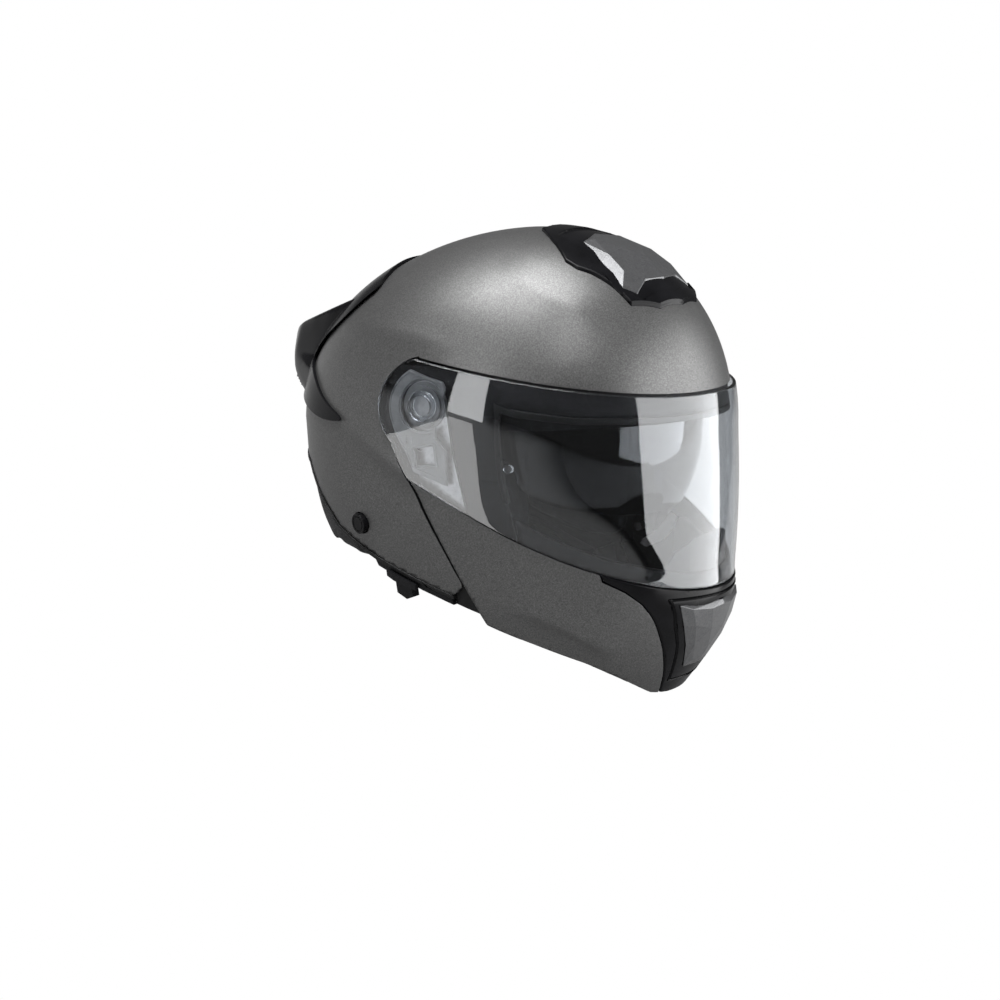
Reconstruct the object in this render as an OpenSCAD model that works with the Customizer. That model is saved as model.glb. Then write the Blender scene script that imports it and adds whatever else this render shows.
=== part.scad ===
// Flip-up full-face motorcycle helmet, standing on its neck roll and chin.
// The helmet is drawn upright as it is worn, with +Y backwards, +Z up and the
// origin midway between the two pivots, and stand() then leans it on the table.

/* [Shell] */
// Half width of the shell at its widest level
half_width = 122; // [120:0.5:124]
// Height of the crown above the pivots
crown_height = 110.5; // [108:0.5:113]
// Wall of the outer shell and of the chin bar
shell_wall = 4; // [3:0.5:4.5]
// Depth of the recess floor under the visor, measured from the skin
recess_depth = 2.2; // [2:0.1:2.4]
// Depth of the side flange that the chin bar closes over
flange_depth = 7.6; // [7.4:0.1:8]

/* [Visor] */
// Wall of the clear visor
visor_wall = 2.1; // [2:0.1:2.2]
// Distance that the visor's upper part stands proud of the shell
visor_proud = 3.6; // [3.5:0.1:3.8]
// Radius of the visor's round ends about the pivots
pod_radius = 31; // [30:0.5:31.5]
// Gap between the visor and the pieces beside it
gap = 0.9; // [0.7:0.1:1.1]

/* [Lining] */
// Depth of the foam liner's inner face below the skin
liner_depth = 31; // [30:0.5:32]
// Thickness of the comfort lining at the crown
lining = 9; // [6:0.5:10]

/* [Sun visor] */
// Radius of the sun visor at its middle, about its own axis
sun_radius = 112; // [111:0.5:113]
// Half width of the sun visor
sun_half_width = 96; // [95:0.5:97]

/* [Hinges] */
// Outer face of the flat hinge plates, from the middle
hinge_face = 110.5; // [110.5:0.1:110.7]
// Radius of the pivot pins
pin_radius = 5; // [4.5:0.5:5.5]
// Radial running clearance of every pin in its bore
running = 0.05; // [0.03:0.01:0.08]

/* [Stand] */
// Backward lean of the helmet on a table
lean = 21; // [21:1:21]
// Height of the pivots above the table
pivot_height = 141.2; // [141:0.1:141.5]
// Distance of the pivots behind the middle of the footprint
pivot_back = 15.4; // [14:0.1:16]

/* [Hidden] */
$fn = 64;
// Levels of the skin below the pivots: height, half width, front, rear
PROFILE = [
    [-20, half_width, -154, 144],
    [-60, 121, -157, 140],
    [-100, 115, -158.5, 125],
    [-130, 108.5, -158.5, 112],
    [-150, 102.5, -153, 104],
    [-175, 92, -140, 97],
    [-200, 78, -122, 90],
];
WAIST = PROFILE[0][0];
FLOOR = PROFILE[6][0];
FOOT_Z = -110;
CROWN_Y = -22;
MIDDLE_Y = 5;
SEGMENTS = 36;
LEVELS = [-1, -0.84, -0.68, -0.52, -0.35, -0.17, 0, 0.13, 0.26, 0.39, 0.52, 0.65, 0.78, 0.9];

// Side outlines, each a list of [y, z]
SPLIT_TOP = [6.5, -49];
SPLIT_FOOT = [-38, -143];
VISOR_FOOT = [[7.8, -47.8], [-20, -60.5], [-61, -82.5], [-107, -103.5], [-152, -119.5], [-170, -125]];
CHIN_FOOT = [[-170, -198.5], [-123, -198.5], [-117, -184], [-104, -172], [-83, -162], [-60, -152]];
SHELL_FOOT = [[160, -35], [113, -47], [95, -68], [76, -87], [59, -95], [39, -103], [7, -115], [-18, -124],
    [-25, -118]];
ROLL_FOOT = [[-39, -143], [-10, -131], [23, -119], [46, -110], [72, -103], [92, -101], [104, -106],
    [112, -110], [150, -110]];
CHIN_BASE = [[0, -90], [-60, -90], [-84, -104], [-82, -111], [-72, -118.5], [-63, -127.5], [-55, -139],
    [-47, -152], [-34, -172], [-17, -199], [0, -199]];
TOP_BASE = [[0, -33], [-19, -33], [-35, -49], [-53, -70], [-54, -79], [-51, -88], [-48, -103], [-47, -115],
    [-27, -126], [0, -129]];
SUN_AXIS = [-20, -20];

function rate(c, i) = (PROFILE[i + 1][c] - PROFILE[i][c]) / (PROFILE[i + 1][0] - PROFILE[i][0]);
function slope(c, i) =
    i == 0 ? rate(c, 0) : i == len(PROFILE) - 1 ? rate(c, i - 1) :
    let (a = rate(c, i - 1), b = rate(c, i)) a * b <= 0 ? 0 : 2 * a * b / (a + b);
function span(z, i = 0) = i >= len(PROFILE) - 2 || z >= PROFILE[i + 1][0] ? i : span(z, i + 1);
// Smooth value of one column of PROFILE at height z
function wall(c, z) =
    let (i = span(z), h = PROFILE[i + 1][0] - PROFILE[i][0], s = (z - PROFILE[i][0]) / h)
    (2 * s ^ 3 - 3 * s ^ 2 + 1) * PROFILE[i][c] + (s ^ 3 - 2 * s ^ 2 + s) * h * slope(c, i)
    + (3 * s ^ 2 - 2 * s ^ 3) * PROFILE[i + 1][c] + (s ^ 3 - s ^ 2) * h * slope(c, i + 1);
// Depth at height z of a layer that runs from depth at the waist to foot at FOOT_Z and below
function depth_at(z, depth, foot) =
    z <= FOOT_Z ? foot : foot + (depth - foot) * (z - FOOT_Z) / (WAIST - FOOT_Z);
// Height, half width, front and rear of the skin moved inwards by depth, at level s
function level(s, depth, foot) =
    s <= 0 ? let (z = WAIST + s * (WAIST - FLOOR), d = depth_at(z, depth, foot))
        [z, wall(1, z) - d, wall(2, z) + d, wall(3, z) - d] :
    let (t = 90 * s)
        [WAIST + (crown_height - depth - WAIST) * sin(t) ^ 0.97,
            (half_width - depth) * cos(t) ^ 0.95,
            CROWN_Y + (PROFILE[0][2] + depth - CROWN_Y) * cos(t) ^ 0.86,
            CROWN_Y + (PROFILE[0][3] - depth - CROWN_Y) * cos(t) ^ 1.12];
// Point of the skin at level s and bearing p, where 0 is the front and 90 the right side
function skin_point(s, p, depth, foot) =
    let (l = level(s, depth, foot), w = max(0, (l[0] - WAIST) / (crown_height - depth - WAIST)),
        c = MIDDLE_Y + (CROWN_Y - MIDDLE_Y) * w, front = cos(p) > 0, n = front ? 2.15 : 2.2,
        b = front ? c - l[2] : l[3] - c,
        r = (abs(cos(p) / b) ^ n + abs(sin(p) / l[1]) ^ n) ^ (-1 / n))
    [-r * sin(p), c - r * cos(p), l[0]];

// Closed solid inside the skin, moved inwards by depth, or by foot at its lower part
module skin(depth, foot = undef) {
    n = SEGMENTS;
    last = len(LEVELS) - 1;
    points = concat(
        [for (s = LEVELS) for (j = [0:n - 1])
            skin_point(s, 360 * j / n, depth, is_undef(foot) ? depth : foot) - [0, 0, s == -1 ? max(0, depth) : 0]],
        [[0, CROWN_Y, crown_height - depth]]);
    faces = concat(
        [[for (j = [n - 1:-1:0]) j]],
        [for (i = [0:last - 1]) for (j = [0:n - 1])
            let (k = (j + 1) % n) [i * n + j, i * n + k, (i + 1) * n + k]],
        [for (i = [0:last - 1]) for (j = [0:n - 1])
            let (k = (j + 1) % n) [i * n + j, (i + 1) * n + k, (i + 1) * n + j]],
        [for (j = [0:n - 1]) [last * n + j, last * n + (j + 1) % n, (last + 1) * n]]);
    polyhedron(points, faces);
}

// The layer of the skin between two depths
module layer(outer, inner) {
    difference() {
        skin(outer);
        skin(inner);
    }
}

// Prism across the helmet with the side outline [y, z], from x = low to x = high
module side(outline, low = -140, high = 140) {
    translate([low, 0, 0]) rotate([90, 0, 90]) linear_extrude(high - low) polygon(outline);
}

// Prism along Y with the right half of a front outline [x, z], made symmetric
module front(outline, low, high) {
    for (m = [0, 1])
        mirror([m, 0, 0]) translate([0, high, 0]) rotate([90, 0, 0])
            linear_extrude(high - low) polygon(outline);
}

// Prism along Z with the right half of a top outline [x, y], made symmetric
module above(outline, low, high) {
    for (m = [0, 1])
        mirror([m, 0, 0]) translate([0, 0, low]) linear_extrude(high - low) polygon(outline);
}

// Cylinder across the helmet at [y, z], from x = low to x = high
module axle(at, r, low, high) {
    translate([low, at[0], at[1]]) rotate([0, 90, 0]) cylinder(r = r, h = high - low);
}

// Both sides of a piece that is drawn on the right side
module both() {
    children();
    mirror([1, 0, 0]) children();
}

// A moulded skin piece, kept as one mesh
module moulded() resize([0, 0, 0]) children();

// Leans the worn helmet back onto the table
module stand() translate([0, pivot_back, pivot_height]) rotate([-lean, 0, 0]) children();

// The half space above the table, in the worn frame
module above_table() {
    rotate([lean, 0, 0]) translate([-200, -pivot_back - 300, -pivot_height]) cube([400, 600, 500]);
}

// Height of the visor's top edge at y
function brow(y) = 7 + 23 * max(0, (y + 152) / 158) ^ 1.12;
function brow_line(from, to, lift) =
    [for (i = [0:12]) let (y = from + (to - from) * i / 12) [y, brow(y) + lift]];
function pod_arc(r, from, to) =
    [for (i = [0:10]) let (a = from + (to - from) * i / 10) [r * cos(a), r * sin(a)]];
function moved(outline, by) = [for (p = outline) p + by];
function reversed(list) = [for (i = [len(list) - 1:-1:0]) list[i]];

// Side outline of the visor, grown by the distance out
function visor_outline(out) = concat(
    pod_arc(pod_radius + out, 80, -50),
    [[15 + out, -36]],
    moved(VISOR_FOOT, [0, -out]),
    reversed(brow_line(5, -170, out)));
// Side outline of the chin bar, shrunk by the distance in at its hidden rear edge
function chin_outline(in) = concat(
    [SPLIT_TOP - [in, 0]],
    moved([for (i = [1:5]) VISOR_FOOT[i]], [0, -gap]),
    CHIN_FOOT,
    [SPLIT_FOOT - [in, 0]]);
// Side outline of everything in front of the shell's lower front edge
FRONT_CUT = concat([[7.8, -46], SPLIT_TOP + [0.3, -2], [-24.7, -114.5], [-25, -118], [-18, -124], [-18, -210],
    [-170, -210], [-170, -46]]);
// Side outline of the flange that the chin bar and the visor's ends close over
FLANGE = [[-49, 25], [-49, -12], [-50, -28], [-53, -48], [-58, -68], [-62, -95], [-60, -114], [-30, -114],
    [-19, -112], [8, -56], [26, -40], [38, -20], [38, 25]];
// Side outline of the rim that ties the flange to the shell
RIM = [[-22, -114], [-16, -113], [14, -51], [27, -38], [38, -20], [38, 12], [34, 30], [6, 37], [-49, 31],
    [-49, 24.5], [5, 32.5], [24, 22], [32.5, 2], [28, -17], [18, -36], [8, -50]];
EYE_LINE = [[-49, 5], [-62, 1], [-100, -4], [-170, -6]];

// Skin solid cut back to flat faces at x = +-face
module flat_sided(depth, face) {
    intersection() {
        skin(depth);
        translate([-face, -200, -210]) cube([2 * face, 400, 400]);
    }
}

// ---- shell and what is fixed to it ----

module outer_shell() color([0.33, 0.33, 0.34]) stand() moulded() difference() {
    union() {
        difference() {
            layer(0, shell_wall);
            side(visor_outline(gap));
            side(FRONT_CUT);
            side(concat(SHELL_FOOT, [[-25, -210], [160, -210]]));
        }
        intersection() {
            difference() {
                flat_sided(recess_depth, hinge_face);
                flat_sided(recess_depth + 3, hinge_face - 3);
            }
            side(concat(brow_line(-49, -170, 6), reversed(EYE_LINE)));
        }
        difference() {
            intersection() {
                side(FLANGE);
                union() {
                    flat_sided(flange_depth, hinge_face);
                    difference() {
                        flat_sided(recess_depth + 0.4, hinge_face);
                        side([[-170, -46], [5, -46], [40, -60], [40, -210], [-170, -210]]);
                    }
                }
            }
            flat_sided(flange_depth + 3, hinge_face - 3);
        }
        intersection() {
            side(RIM);
            difference() {
                skin(1);
                flat_sided(flange_depth + 2, hinge_face - 3);
                difference() {
                    axle([0, 0], pod_radius + gap, -140, 140);
                    flat_sided(0, hinge_face);
                }
            }
        }
    }
    both() axle([0, 0], pin_radius - 0.1, -120, -100);
    both() anchor_place() cylinder(r = 7.3, h = 20, center = true);
    both() axle([-50, -106], 2.9, -112, -90);
}

// Where a strap anchor passes through the shell, with +Z outwards
module anchor_place() {
    translate([-111.5, 52, -82]) rotate([0, 0, -22]) rotate([0, -98, 0]) children();
}

// Solid of revolution about the sun visor's axis, grown by the distance out
function sun_profile(out) = concat(
    [[0, -sun_half_width - out]],
    [for (i = [-7:7]) let (x = (sun_half_width + out) * sin(12.5 * i))
        [(sun_radius + out) * (1 - abs(x / (sun_half_width + out)) ^ 2.3) ^ (1 / 2.3), x]],
    [[0, sun_half_width + out]]);
module sun_body(out) {
    translate([0, SUN_AXIS[0], SUN_AXIS[1]]) rotate([0, 90, 0])
        rotate_extrude($fn = 44) polygon(sun_profile(out));
}
// Wedge about the sun visor's axis between two angles above the forward direction
module sun_wedge(low, high, x = 140) {
    side(moved(concat([[0, 0]], [for (i = [0:8]) let (a = low + (high - low) * i / 8)
        160 * [-cos(a), sin(a)]]), SUN_AXIS), -x, x);
}

module eps_liner() color([0.12, 0.12, 0.13]) stand() moulded() difference() {
    layer(7.2, liner_depth);
    side([[160, -31], [113, -42], [95, -62], [76, -81], [59, -89], [39, -97], [7, -108], [-25, -116],
        [-44, -116], [-45, -97], [-55, -72], [-50, -48], [-47, -28], [-46, -14], [-62, -14], [-100, -12],
        [-170, -10], [-170, -210], [160, -210]]);
    difference() {
        side([[-66, 42], [-66, -120], [-18, -120], [18, -52], [44, -22], [44, 42]]);
        flat_sided(11.4, 106.8);
    }
    difference() {
        intersection() {
            sun_body(3.4);
            union() {
                sun_wedge(-32, 100);
                axle(SUN_AXIS, 24, -140, 140);
            }
        }
        sun_body(-3);
    }
    both() axle(SUN_AXIS, 2.9, -104, -92);
    both() anchor_place() cylinder(r = 9, h = 24, center = true);
}

module crown_pad() color([0.1, 0.1, 0.11]) stand() moulded() intersection() {
    layer(liner_depth + 0.4, liner_depth + lining);
    side([[-126, 2], [-90, -4], [-20, -8], [30, -18], [62, -42], [90, -52], [115, -44], [115, 90], [-126, 90]]);
}

module cheek_pad() moulded() intersection() {
    skin(liner_depth + 0.4);
    side([[-52, -24], [20, -22], [48, -40], [58, -72], [20, -98], [-38, -113], [-54, -104], [-51, -60]],
        -110, -40);
    above([[-130, -70], [-72, -70], [-60, -50], [-57, -10], [-62, 30], [-74, 60], [-130, 70]], -130, 0);
}
module cheek_pad_right() color([0.09, 0.09, 0.1]) stand() cheek_pad();
module cheek_pad_left() color([0.09, 0.09, 0.1]) stand() mirror([1, 0, 0]) cheek_pad();

module neck_roll() color([0.13, 0.13, 0.14]) stand() moulded() intersection() {
    difference() {
        union() {
            skin(6.8);
            intersection() {
                skin(1);
                side([[56, -30], [200, -30], [200, -210], [56, -210]]);
            }
        }
        skin(37);
    }
    side(concat([[-27.5, -118.5]], [[-25.5, -121.7], [-18, -127.7]],
        moved([for (i = [6:-1:0]) SHELL_FOOT[i]], [0, -3.8]), [[160, -110]], reversed(ROLL_FOOT)));
    above_table();
}

module edge_trim() color([0.04, 0.04, 0.04]) stand() moulded() intersection() {
    layer(-0.8, 5.8);
    side(concat(moved([for (i = [0:7]) SHELL_FOOT[i]], [0, -0.1]),
        moved([for (i = [7:-1:0]) SHELL_FOOT[i]], [0, -3.4])));
}

module eyeport_gasket() color([0.05, 0.05, 0.05]) stand() moulded() difference() {
    intersection() {
        flat_sided(1.7, hinge_face - 0.2);
        side([[-49.2, 4.8], [-62.2, 0.8], [-100, -4.2], [-165, -6.2], [-165, -10.2], [-100, -8.2],
            [-64, -4], [-54, -2], [-53, -12], [-54, -28], [-57, -48], [-60, -60], [-56.4, -60],
            [-53.2, -48], [-50.2, -28]]);
    }
    skin(7);
    translate([-104, -60, -80]) cube([208, 20, 110]);
}

// Rear spoiler: a ducktail deck whose lower edge wraps forward along both sides
RIDGE = [[-66, 60, 73], [-64, 85, 62.5], [-58, 110, 53.5], [-50, 130, 46.5], [-42, 146, 41], [-25, 160, 37],
    [0, 169, 35]];
VALLEY = [[-60, 121, 19], [-44, 150, 20], [-30, 160, 20], [0, 170, 20]];
WING = [[-84, 105, 11], [-101, 87, -2.5], [-112, 62, -12], [-112, 63, -15], [-100, 90, -14], [-84, 108, -9],
    [-70, 127, -2], [-52, 145, 6], [-35, 157, 14], [0, 168, 17]];
SPOILER_SIDE = [[60, 74], [74, 62], [90, 48], [113, 31], [121, 19], [105, 11], [87, -2.5], [62, -14],
    [75, -15.5], [90, -15], [108, -11], [127, -5], [150, 0], [150, 50], [60, 90]];
module shape_of(points) {
    hull() both() for (p = points) translate(p) cube(1, center = true);
}
module rear_spoiler() color([0.05, 0.05, 0.055]) stand() moulded() difference() {
    union() {
        shape_of(concat(RIDGE, VALLEY));
        shape_of(concat(VALLEY, WING));
        intersection() {
            skin(-4);
            side(SPOILER_SIDE);
        }
    }
    skin(-0.4);
}

module exhaust_grille() color([0.03, 0.03, 0.03]) stand() moulded() difference() {
    intersection() {
        layer(-2.2, -0.4);
        translate([-34, 100, -29]) cube([68, 60, 15]);
    }
    for (i = [-3:3]) translate([9 * i - 2.5, 90, -25.5]) cube([5, 80, 8]);
}

module top_vent_base() color([0.04, 0.04, 0.045]) stand() moulded() difference() {
    intersection() {
        difference() {
            skin(-5);
            skin(-0.4);
        }
        above(TOP_BASE, 40, 130);
    }
    difference() {
        above([[0, -52], [-26, -52], [-42, -86], [-47, -106], [-36, -118], [0, -122.5]], 40, 130);
        skin(-2);
    }
}

module pivot_pin() {
    axle([0, 0], pin_radius, -113.4, -107.4);
    axle([0, 0], 8, -115, -113.4);
}
module pivot_pin_right() color("silver") stand() pivot_pin();
module pivot_pin_left() color("silver") stand() mirror([1, 0, 0]) pivot_pin();

module latch_pins() color("silver") stand() both() axle([-50, -106], 3, -100.5, -91);

module strap_anchors() color("silver") stand() both() anchor_place() {
    translate([0, 0, -9]) cylinder(r = 3, h = 11);
    translate([0, 0, -10.5]) cylinder(r = 7, h = 1.5);
}

module anchor_caps() color([0.05, 0.05, 0.05]) stand() both() anchor_place() difference() {
    translate([0, 0, -3]) cylinder(r = 6.9, h = 4.6);
    translate([0, 0, 0.6]) cylinder(r = 4.2, h = 2);
    translate([0, 0, -4]) cylinder(r = 3, h = 6);
}

module sun_track() color([0.04, 0.04, 0.04]) stand() moulded() intersection() {
    layer(0.4, 6.2);
    side([[42, -105.8], [6, -119.3], [-16, -127.3], [-17, -131], [5, -123], [40, -109.9]], -140, 0);
}

module sun_lever() color([0.03, 0.03, 0.03]) stand() moulded() union() {
    intersection() {
        layer(-2.6, 5.6);
        side([[24, -116.6], [12, -121.2], [12, -128], [17, -130], [24, -126]], -140, 0);
    }
    intersection() {
        layer(-4, -0.4);
        side([[30, -110.8], [8, -119.1], [8, -123], [24, -118], [30, -115]], -140, 0);
    }
}

// Tube of radius r along a list of points
function along(path, i) =
    let (a = path[max(0, i - 1)], b = path[min(len(path) - 1, i + 1)]) (b - a) / norm(b - a);
module tube(path, r, sides = 8) {
    last = len(path) - 1;
    points = [for (i = [0:last])
        let (t = along(path, i), u = cross(t, [1, 0, 0]) / norm(cross(t, [1, 0, 0])), v = cross(t, u))
        for (k = [0:sides - 1]) path[i] + r * (cos(360 * k / sides) * u + sin(360 * k / sides) * v)];
    faces = concat(
        [[for (k = [0:sides - 1]) k]],
        [for (i = [0:last - 1]) for (k = [0:sides - 1]) let (m = (k + 1) % sides)
            [i * sides + k, (i + 1) * sides + k, (i + 1) * sides + m]],
        [for (i = [0:last - 1]) for (k = [0:sides - 1]) let (m = (k + 1) % sides)
            [i * sides + k, (i + 1) * sides + m, i * sides + m]],
        [[for (k = [sides - 1:-1:0]) last * sides + k]]);
    polyhedron(points, faces);
}
// Cable between the lever and the sun visor, under the shell: level and bearing of each point
CABLE = [[-0.46, 102], [-0.4, 107], [-0.28, 111], [-0.14, 113], [0, 114.5], [0.1, 115], [0.2, 115],
    [0.28, 112.5], [0.34, 107], [0.4, 99]];
module sun_cable() color([0.1, 0.1, 0.1]) stand() moulded()
    tube([for (c = CABLE) skin_point(c[0], c[1], 6, 6)], 0.8, 6);

module sun_pins() color("silver") stand() both() axle(SUN_AXIS, 3, -104, -94);

// Webbing: a flat ribbon of the given width and thickness along a list of points
module ribbon(path, width, thick) {
    last = len(path) - 1;
    points = [for (i = [0:last])
        let (t = along(path, i), w = WEB_ACROSS * width / 2, n = cross(t, WEB_ACROSS) * thick / 2)
        each [path[i] - w - n, path[i] + w - n, path[i] + w + n, path[i] - w + n]];
    faces = concat(
        [[0, 1, 2, 3]],
        [for (i = [0:last - 1]) for (k = [0:3]) let (m = (k + 1) % 4)
            [4 * i + k, 4 * i + 4 + k, 4 * i + 4 + m]],
        [for (i = [0:last - 1]) for (k = [0:3]) let (m = (k + 1) % 4)
            [4 * i + k, 4 * i + 4 + m, 4 * i + m]],
        [[3, 2, 1, 0] + 4 * last * [1, 1, 1, 1]]);
    polyhedron(points, faces);
}
BUCKLE = [0, -25, -142];
WEB_TILT = 17;
WEB_ACROSS = [0, cos(WEB_TILT), sin(WEB_TILT)];
WEB_SIDE = [[-70, 15, -109], [-68, 6, -118], [-60, -7, -129], [-46, -18, -137.5]];
module buckle_frame() translate(BUCKLE) rotate([WEB_TILT, 0, 0]) children();
module strap_right() color([0.08, 0.08, 0.08]) stand() moulded()
    ribbon(concat(WEB_SIDE, [[-32, -24, -141.5], [-22.2, -25, -142]]), 22, 2);
module strap_left() color([0.08, 0.08, 0.08]) stand() moulded() mirror([1, 0, 0])
    ribbon(concat(WEB_SIDE, [[-34, -25, -142], [-30.2, -25, -142]]), 22, 2);

module buckle_receiver() color([0.06, 0.06, 0.06]) stand() buckle_frame() difference() {
    union() {
        translate([-12, -13, -4]) cube([42, 26, 8]);
        for (m = [0, 1]) mirror([0, m, 0]) {
            translate([16, 9.2, -8]) cube([6, 3.8, 4.5]);
            translate([19, 13, -8]) rotate([90, 0, 0]) cylinder(r = 3, h = 3.8);
        }
    }
    translate([-13, -9, -1.7]) cube([34, 18, 3.4]);
    translate([19, 14, -8]) rotate([90, 0, 0]) cylinder(r = 1.5 + running, h = 28);
}

module strap_tongue() color("silver") stand() buckle_frame() difference() {
    union() {
        translate([-22, -8.7, -1.2]) cube([38, 17.4, 2.4]);
        for (i = [0:7]) translate([-8 + 2.4 * i, -6, -1.5]) cube([1.2, 12, 0.4]);
    }
    translate([-19, -6, -2]) cube([3, 12, 4]);
}

module buckle_lever() color([0.55, 0.08, 0.07]) stand() buckle_frame() difference() {
    union() {
        translate([-9, -8.6, -8.6]) cube([26, 17.2, 3.2]);
        translate([19, 8.6, -8]) rotate([90, 0, 0]) cylinder(r = 3, h = 17.2);
        translate([16, -8.6, -8.6]) cube([3, 17.2, 3.2]);
    }
    translate([19, 9, -8]) rotate([90, 0, 0]) cylinder(r = 1.5 + running, h = 18);
    translate([-6, 0, -8.6]) cylinder(r = 5, h = 1);
}
module buckle_pin() color("silver") stand() buckle_frame()
    translate([19, 13, -8]) rotate([90, 0, 0]) cylinder(r = 1.5, h = 26);

// ---- chin bar and what is fixed to it ----

module chin_bar() color([0.35, 0.35, 0.36]) stand() moulded() intersection() {
    difference() {
        union() {
            difference() {
                intersection() {
                    layer(0, shell_wall);
                    side(chin_outline(1.2));
                }
                difference() {
                    front(CHIN_BASE, -170, -100);
                    skin(2.6);
                }
            }
            intersection() {
                layer(shell_wall - 0.6, shell_wall + 2.4);
                side([[-64, -71], [-74, -77.5], [-91, -86], [-113, -96], [-133, -103], [-152, -111],
                    [-170, -116], [-170, -133], [-152, -127.5], [-107, -111.5], [-66, -93]]);
            }
            both() intersection() {
                union() {
                    axle([-9, -66], 5, -120, -hinge_face - 2.4);
                    axle([-24, -70.5], 5, -120, -hinge_face - 2.4);
                }
                skin(1);
                side(chin_outline(1.2));
            }
        }
        both() axle([-9, -66], 1.9, -117, -100);
        both() axle([-24, -70.5], 1.9, -116, -100);
    }
    above_table();
}

module chin_bar_liner() color([0.12, 0.12, 0.13]) stand() moulded() intersection() {
    layer(6.9, 20);
    side([[-85, -95], [-91, -93], [-113, -102], [-152, -117], [-170, -119], [-170, -172], [-112, -168],
        [-100, -157], [-85, -147]]);
}

module chin_vent_base() color([0.04, 0.04, 0.045]) stand() moulded() intersection() {
    layer(-0.6, 2.1);
    front([[0, -100], [-60, -100], [-82.5, -106], [-81, -110.6], [-71.5, -118], [-62.4, -127.2],
        [-54.4, -138.9], [-46.4, -151.9], [-33.4, -171.9], [-17, -197.5], [0, -197.5]], -170, -100);
    side(chin_outline(1.2));
    above_table();
}

module hinge_arm() difference() {
    union() {
        axle([0, 0], 16, -hinge_face - 2.4, -hinge_face - 0.6);
        side([[-15.6, -3], [-20, -30], [-29.5, -64], [-28.5, -72], [-24, -75.5], [-8, -72], [-2.5, -66],
            [2, -58], [14, -8]], -hinge_face - 2.4, -hinge_face - 0.6);
    }
    axle([0, 0], pin_radius + running, -120, -100);
    axle([-9, -66], 2 + running, -120, -100);
    axle([-24, -70.5], 2 + running, -120, -100);
}
module hinge_arm_right() color("gray") stand() hinge_arm();
module hinge_arm_left() color("gray") stand() mirror([1, 0, 0]) hinge_arm();

module arm_screws() color("silver") stand() both() for (p = [[-9, -66], [-24, -70.5]]) {
    axle(p, 2, -116.2 + 0.1 * p[0] + 1, -hinge_face - 0.6);
    axle(p, 3, -hinge_face - 0.6, -hinge_face - 0.2);
}

// Teardrop cover plate seen through the visor's round end
PLATE = concat(pod_arc(25.5, 62, -22), [[20, -18.5], [10, -34], [6, -43.5], [-18.5, -51], [-18.5, -28],
    [-11, -20], [-10.5, -11], [-16, -3], [-16, 12], [-13.5, 16], [0, 19]]);
module pivot_plate() moulded() difference() {
    intersection() {
        difference() {
            skin(3.6);
            skin(5.1);
        }
        side(PLATE, -130, -hinge_face - 0.3);
    }
    axle([0, 0], 16.3, -130, -100);
    side([[5.5, -28], [-8.5, -25.5], [-10, -37.5], [3, -39]], -130, -100);
}
module pivot_plate_right() color([0.4, 0.4, 0.42]) stand() pivot_plate();
module pivot_plate_left() color([0.4, 0.4, 0.42]) stand() mirror([1, 0, 0]) pivot_plate();

module pivot_hub() difference() {
    union() {
        axle([0, 0], 15.5, -hinge_face - 3.4, -hinge_face - 2.4);
        axle([0, 0], 13, -116, -hinge_face - 2.4);
    }
    axle([0, 0], 10 + running, -120, -100);
}
module pivot_hub_right() color([0.2, 0.2, 0.21]) stand() pivot_hub();
module pivot_hub_left() color([0.2, 0.2, 0.21]) stand() mirror([1, 0, 0]) pivot_hub();

module breath_deflector() color([0.06, 0.06, 0.06]) stand() moulded() intersection() {
    layer(6.5, 8.6);
    front([[0, -86], [-22, -88], [-38, -96], [-46, -108], [-20, -113], [0, -114.5]], -170, -100);
}

module chin_curtain() color([0.1, 0.1, 0.1]) stand() moulded() difference() {
    intersection() {
        layer(4.6, 30);
        side([[-95, -157], [-128, -186], [-126, -188.5], [-95, -160.5]]);
    }
    translate([-18, -140, -200]) cube([36, 33, 40]);
}

module chin_vent_slider() color([0.42, 0.42, 0.44]) stand() moulded() intersection() {
    layer(-4.6, -2.1);
    front([[0, -131], [-38, -130], [-34, -144], [-26, -158], [-13, -177], [0, -177]], -170, -100);
}

module release_button() color([0.5, 0.06, 0.05]) stand() moulded()
    translate([0, -117, -183]) hull() both() for (y = [-4, 4])
        translate([-13, y, 0]) cylinder(r = 2, h = 7, center = true, $fn = 12);

module latch_hook() moulded() side([[-81, -96], [-76, -93], [-71, -100], [-64, -108], [-54, -114.5],
    [-52, -118], [-57, -120], [-70, -114], [-79, -104]], -93.1, -90.6);
module latch_hook_right() color("gray") stand() latch_hook();
module latch_hook_left() color("gray") stand() mirror([1, 0, 0]) latch_hook();

// ---- visor, sun visor and top vent slider ----

module visor() color([0.75, 0.8, 0.85, 0.4]) stand() moulded() difference() {
    intersection() {
        difference() {
            skin(-visor_proud, 0);
            skin(visor_wall - visor_proud, visor_wall);
        }
        side(visor_outline(0));
    }
}

module visor_boss() difference() {
    axle([0, 0], 10, -122.8, -115.3);
    axle([0, 0], 7, -125, -110);
}
module visor_boss_right() color([0.6, 0.6, 0.62]) stand() visor_boss();
module visor_boss_left() color([0.6, 0.6, 0.62]) stand() mirror([1, 0, 0]) visor_boss();

module pinlock_pins() color([0.7, 0.7, 0.72]) stand() both() axle([-62, -37], 2.6, -115.2, -110.6);

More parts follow.
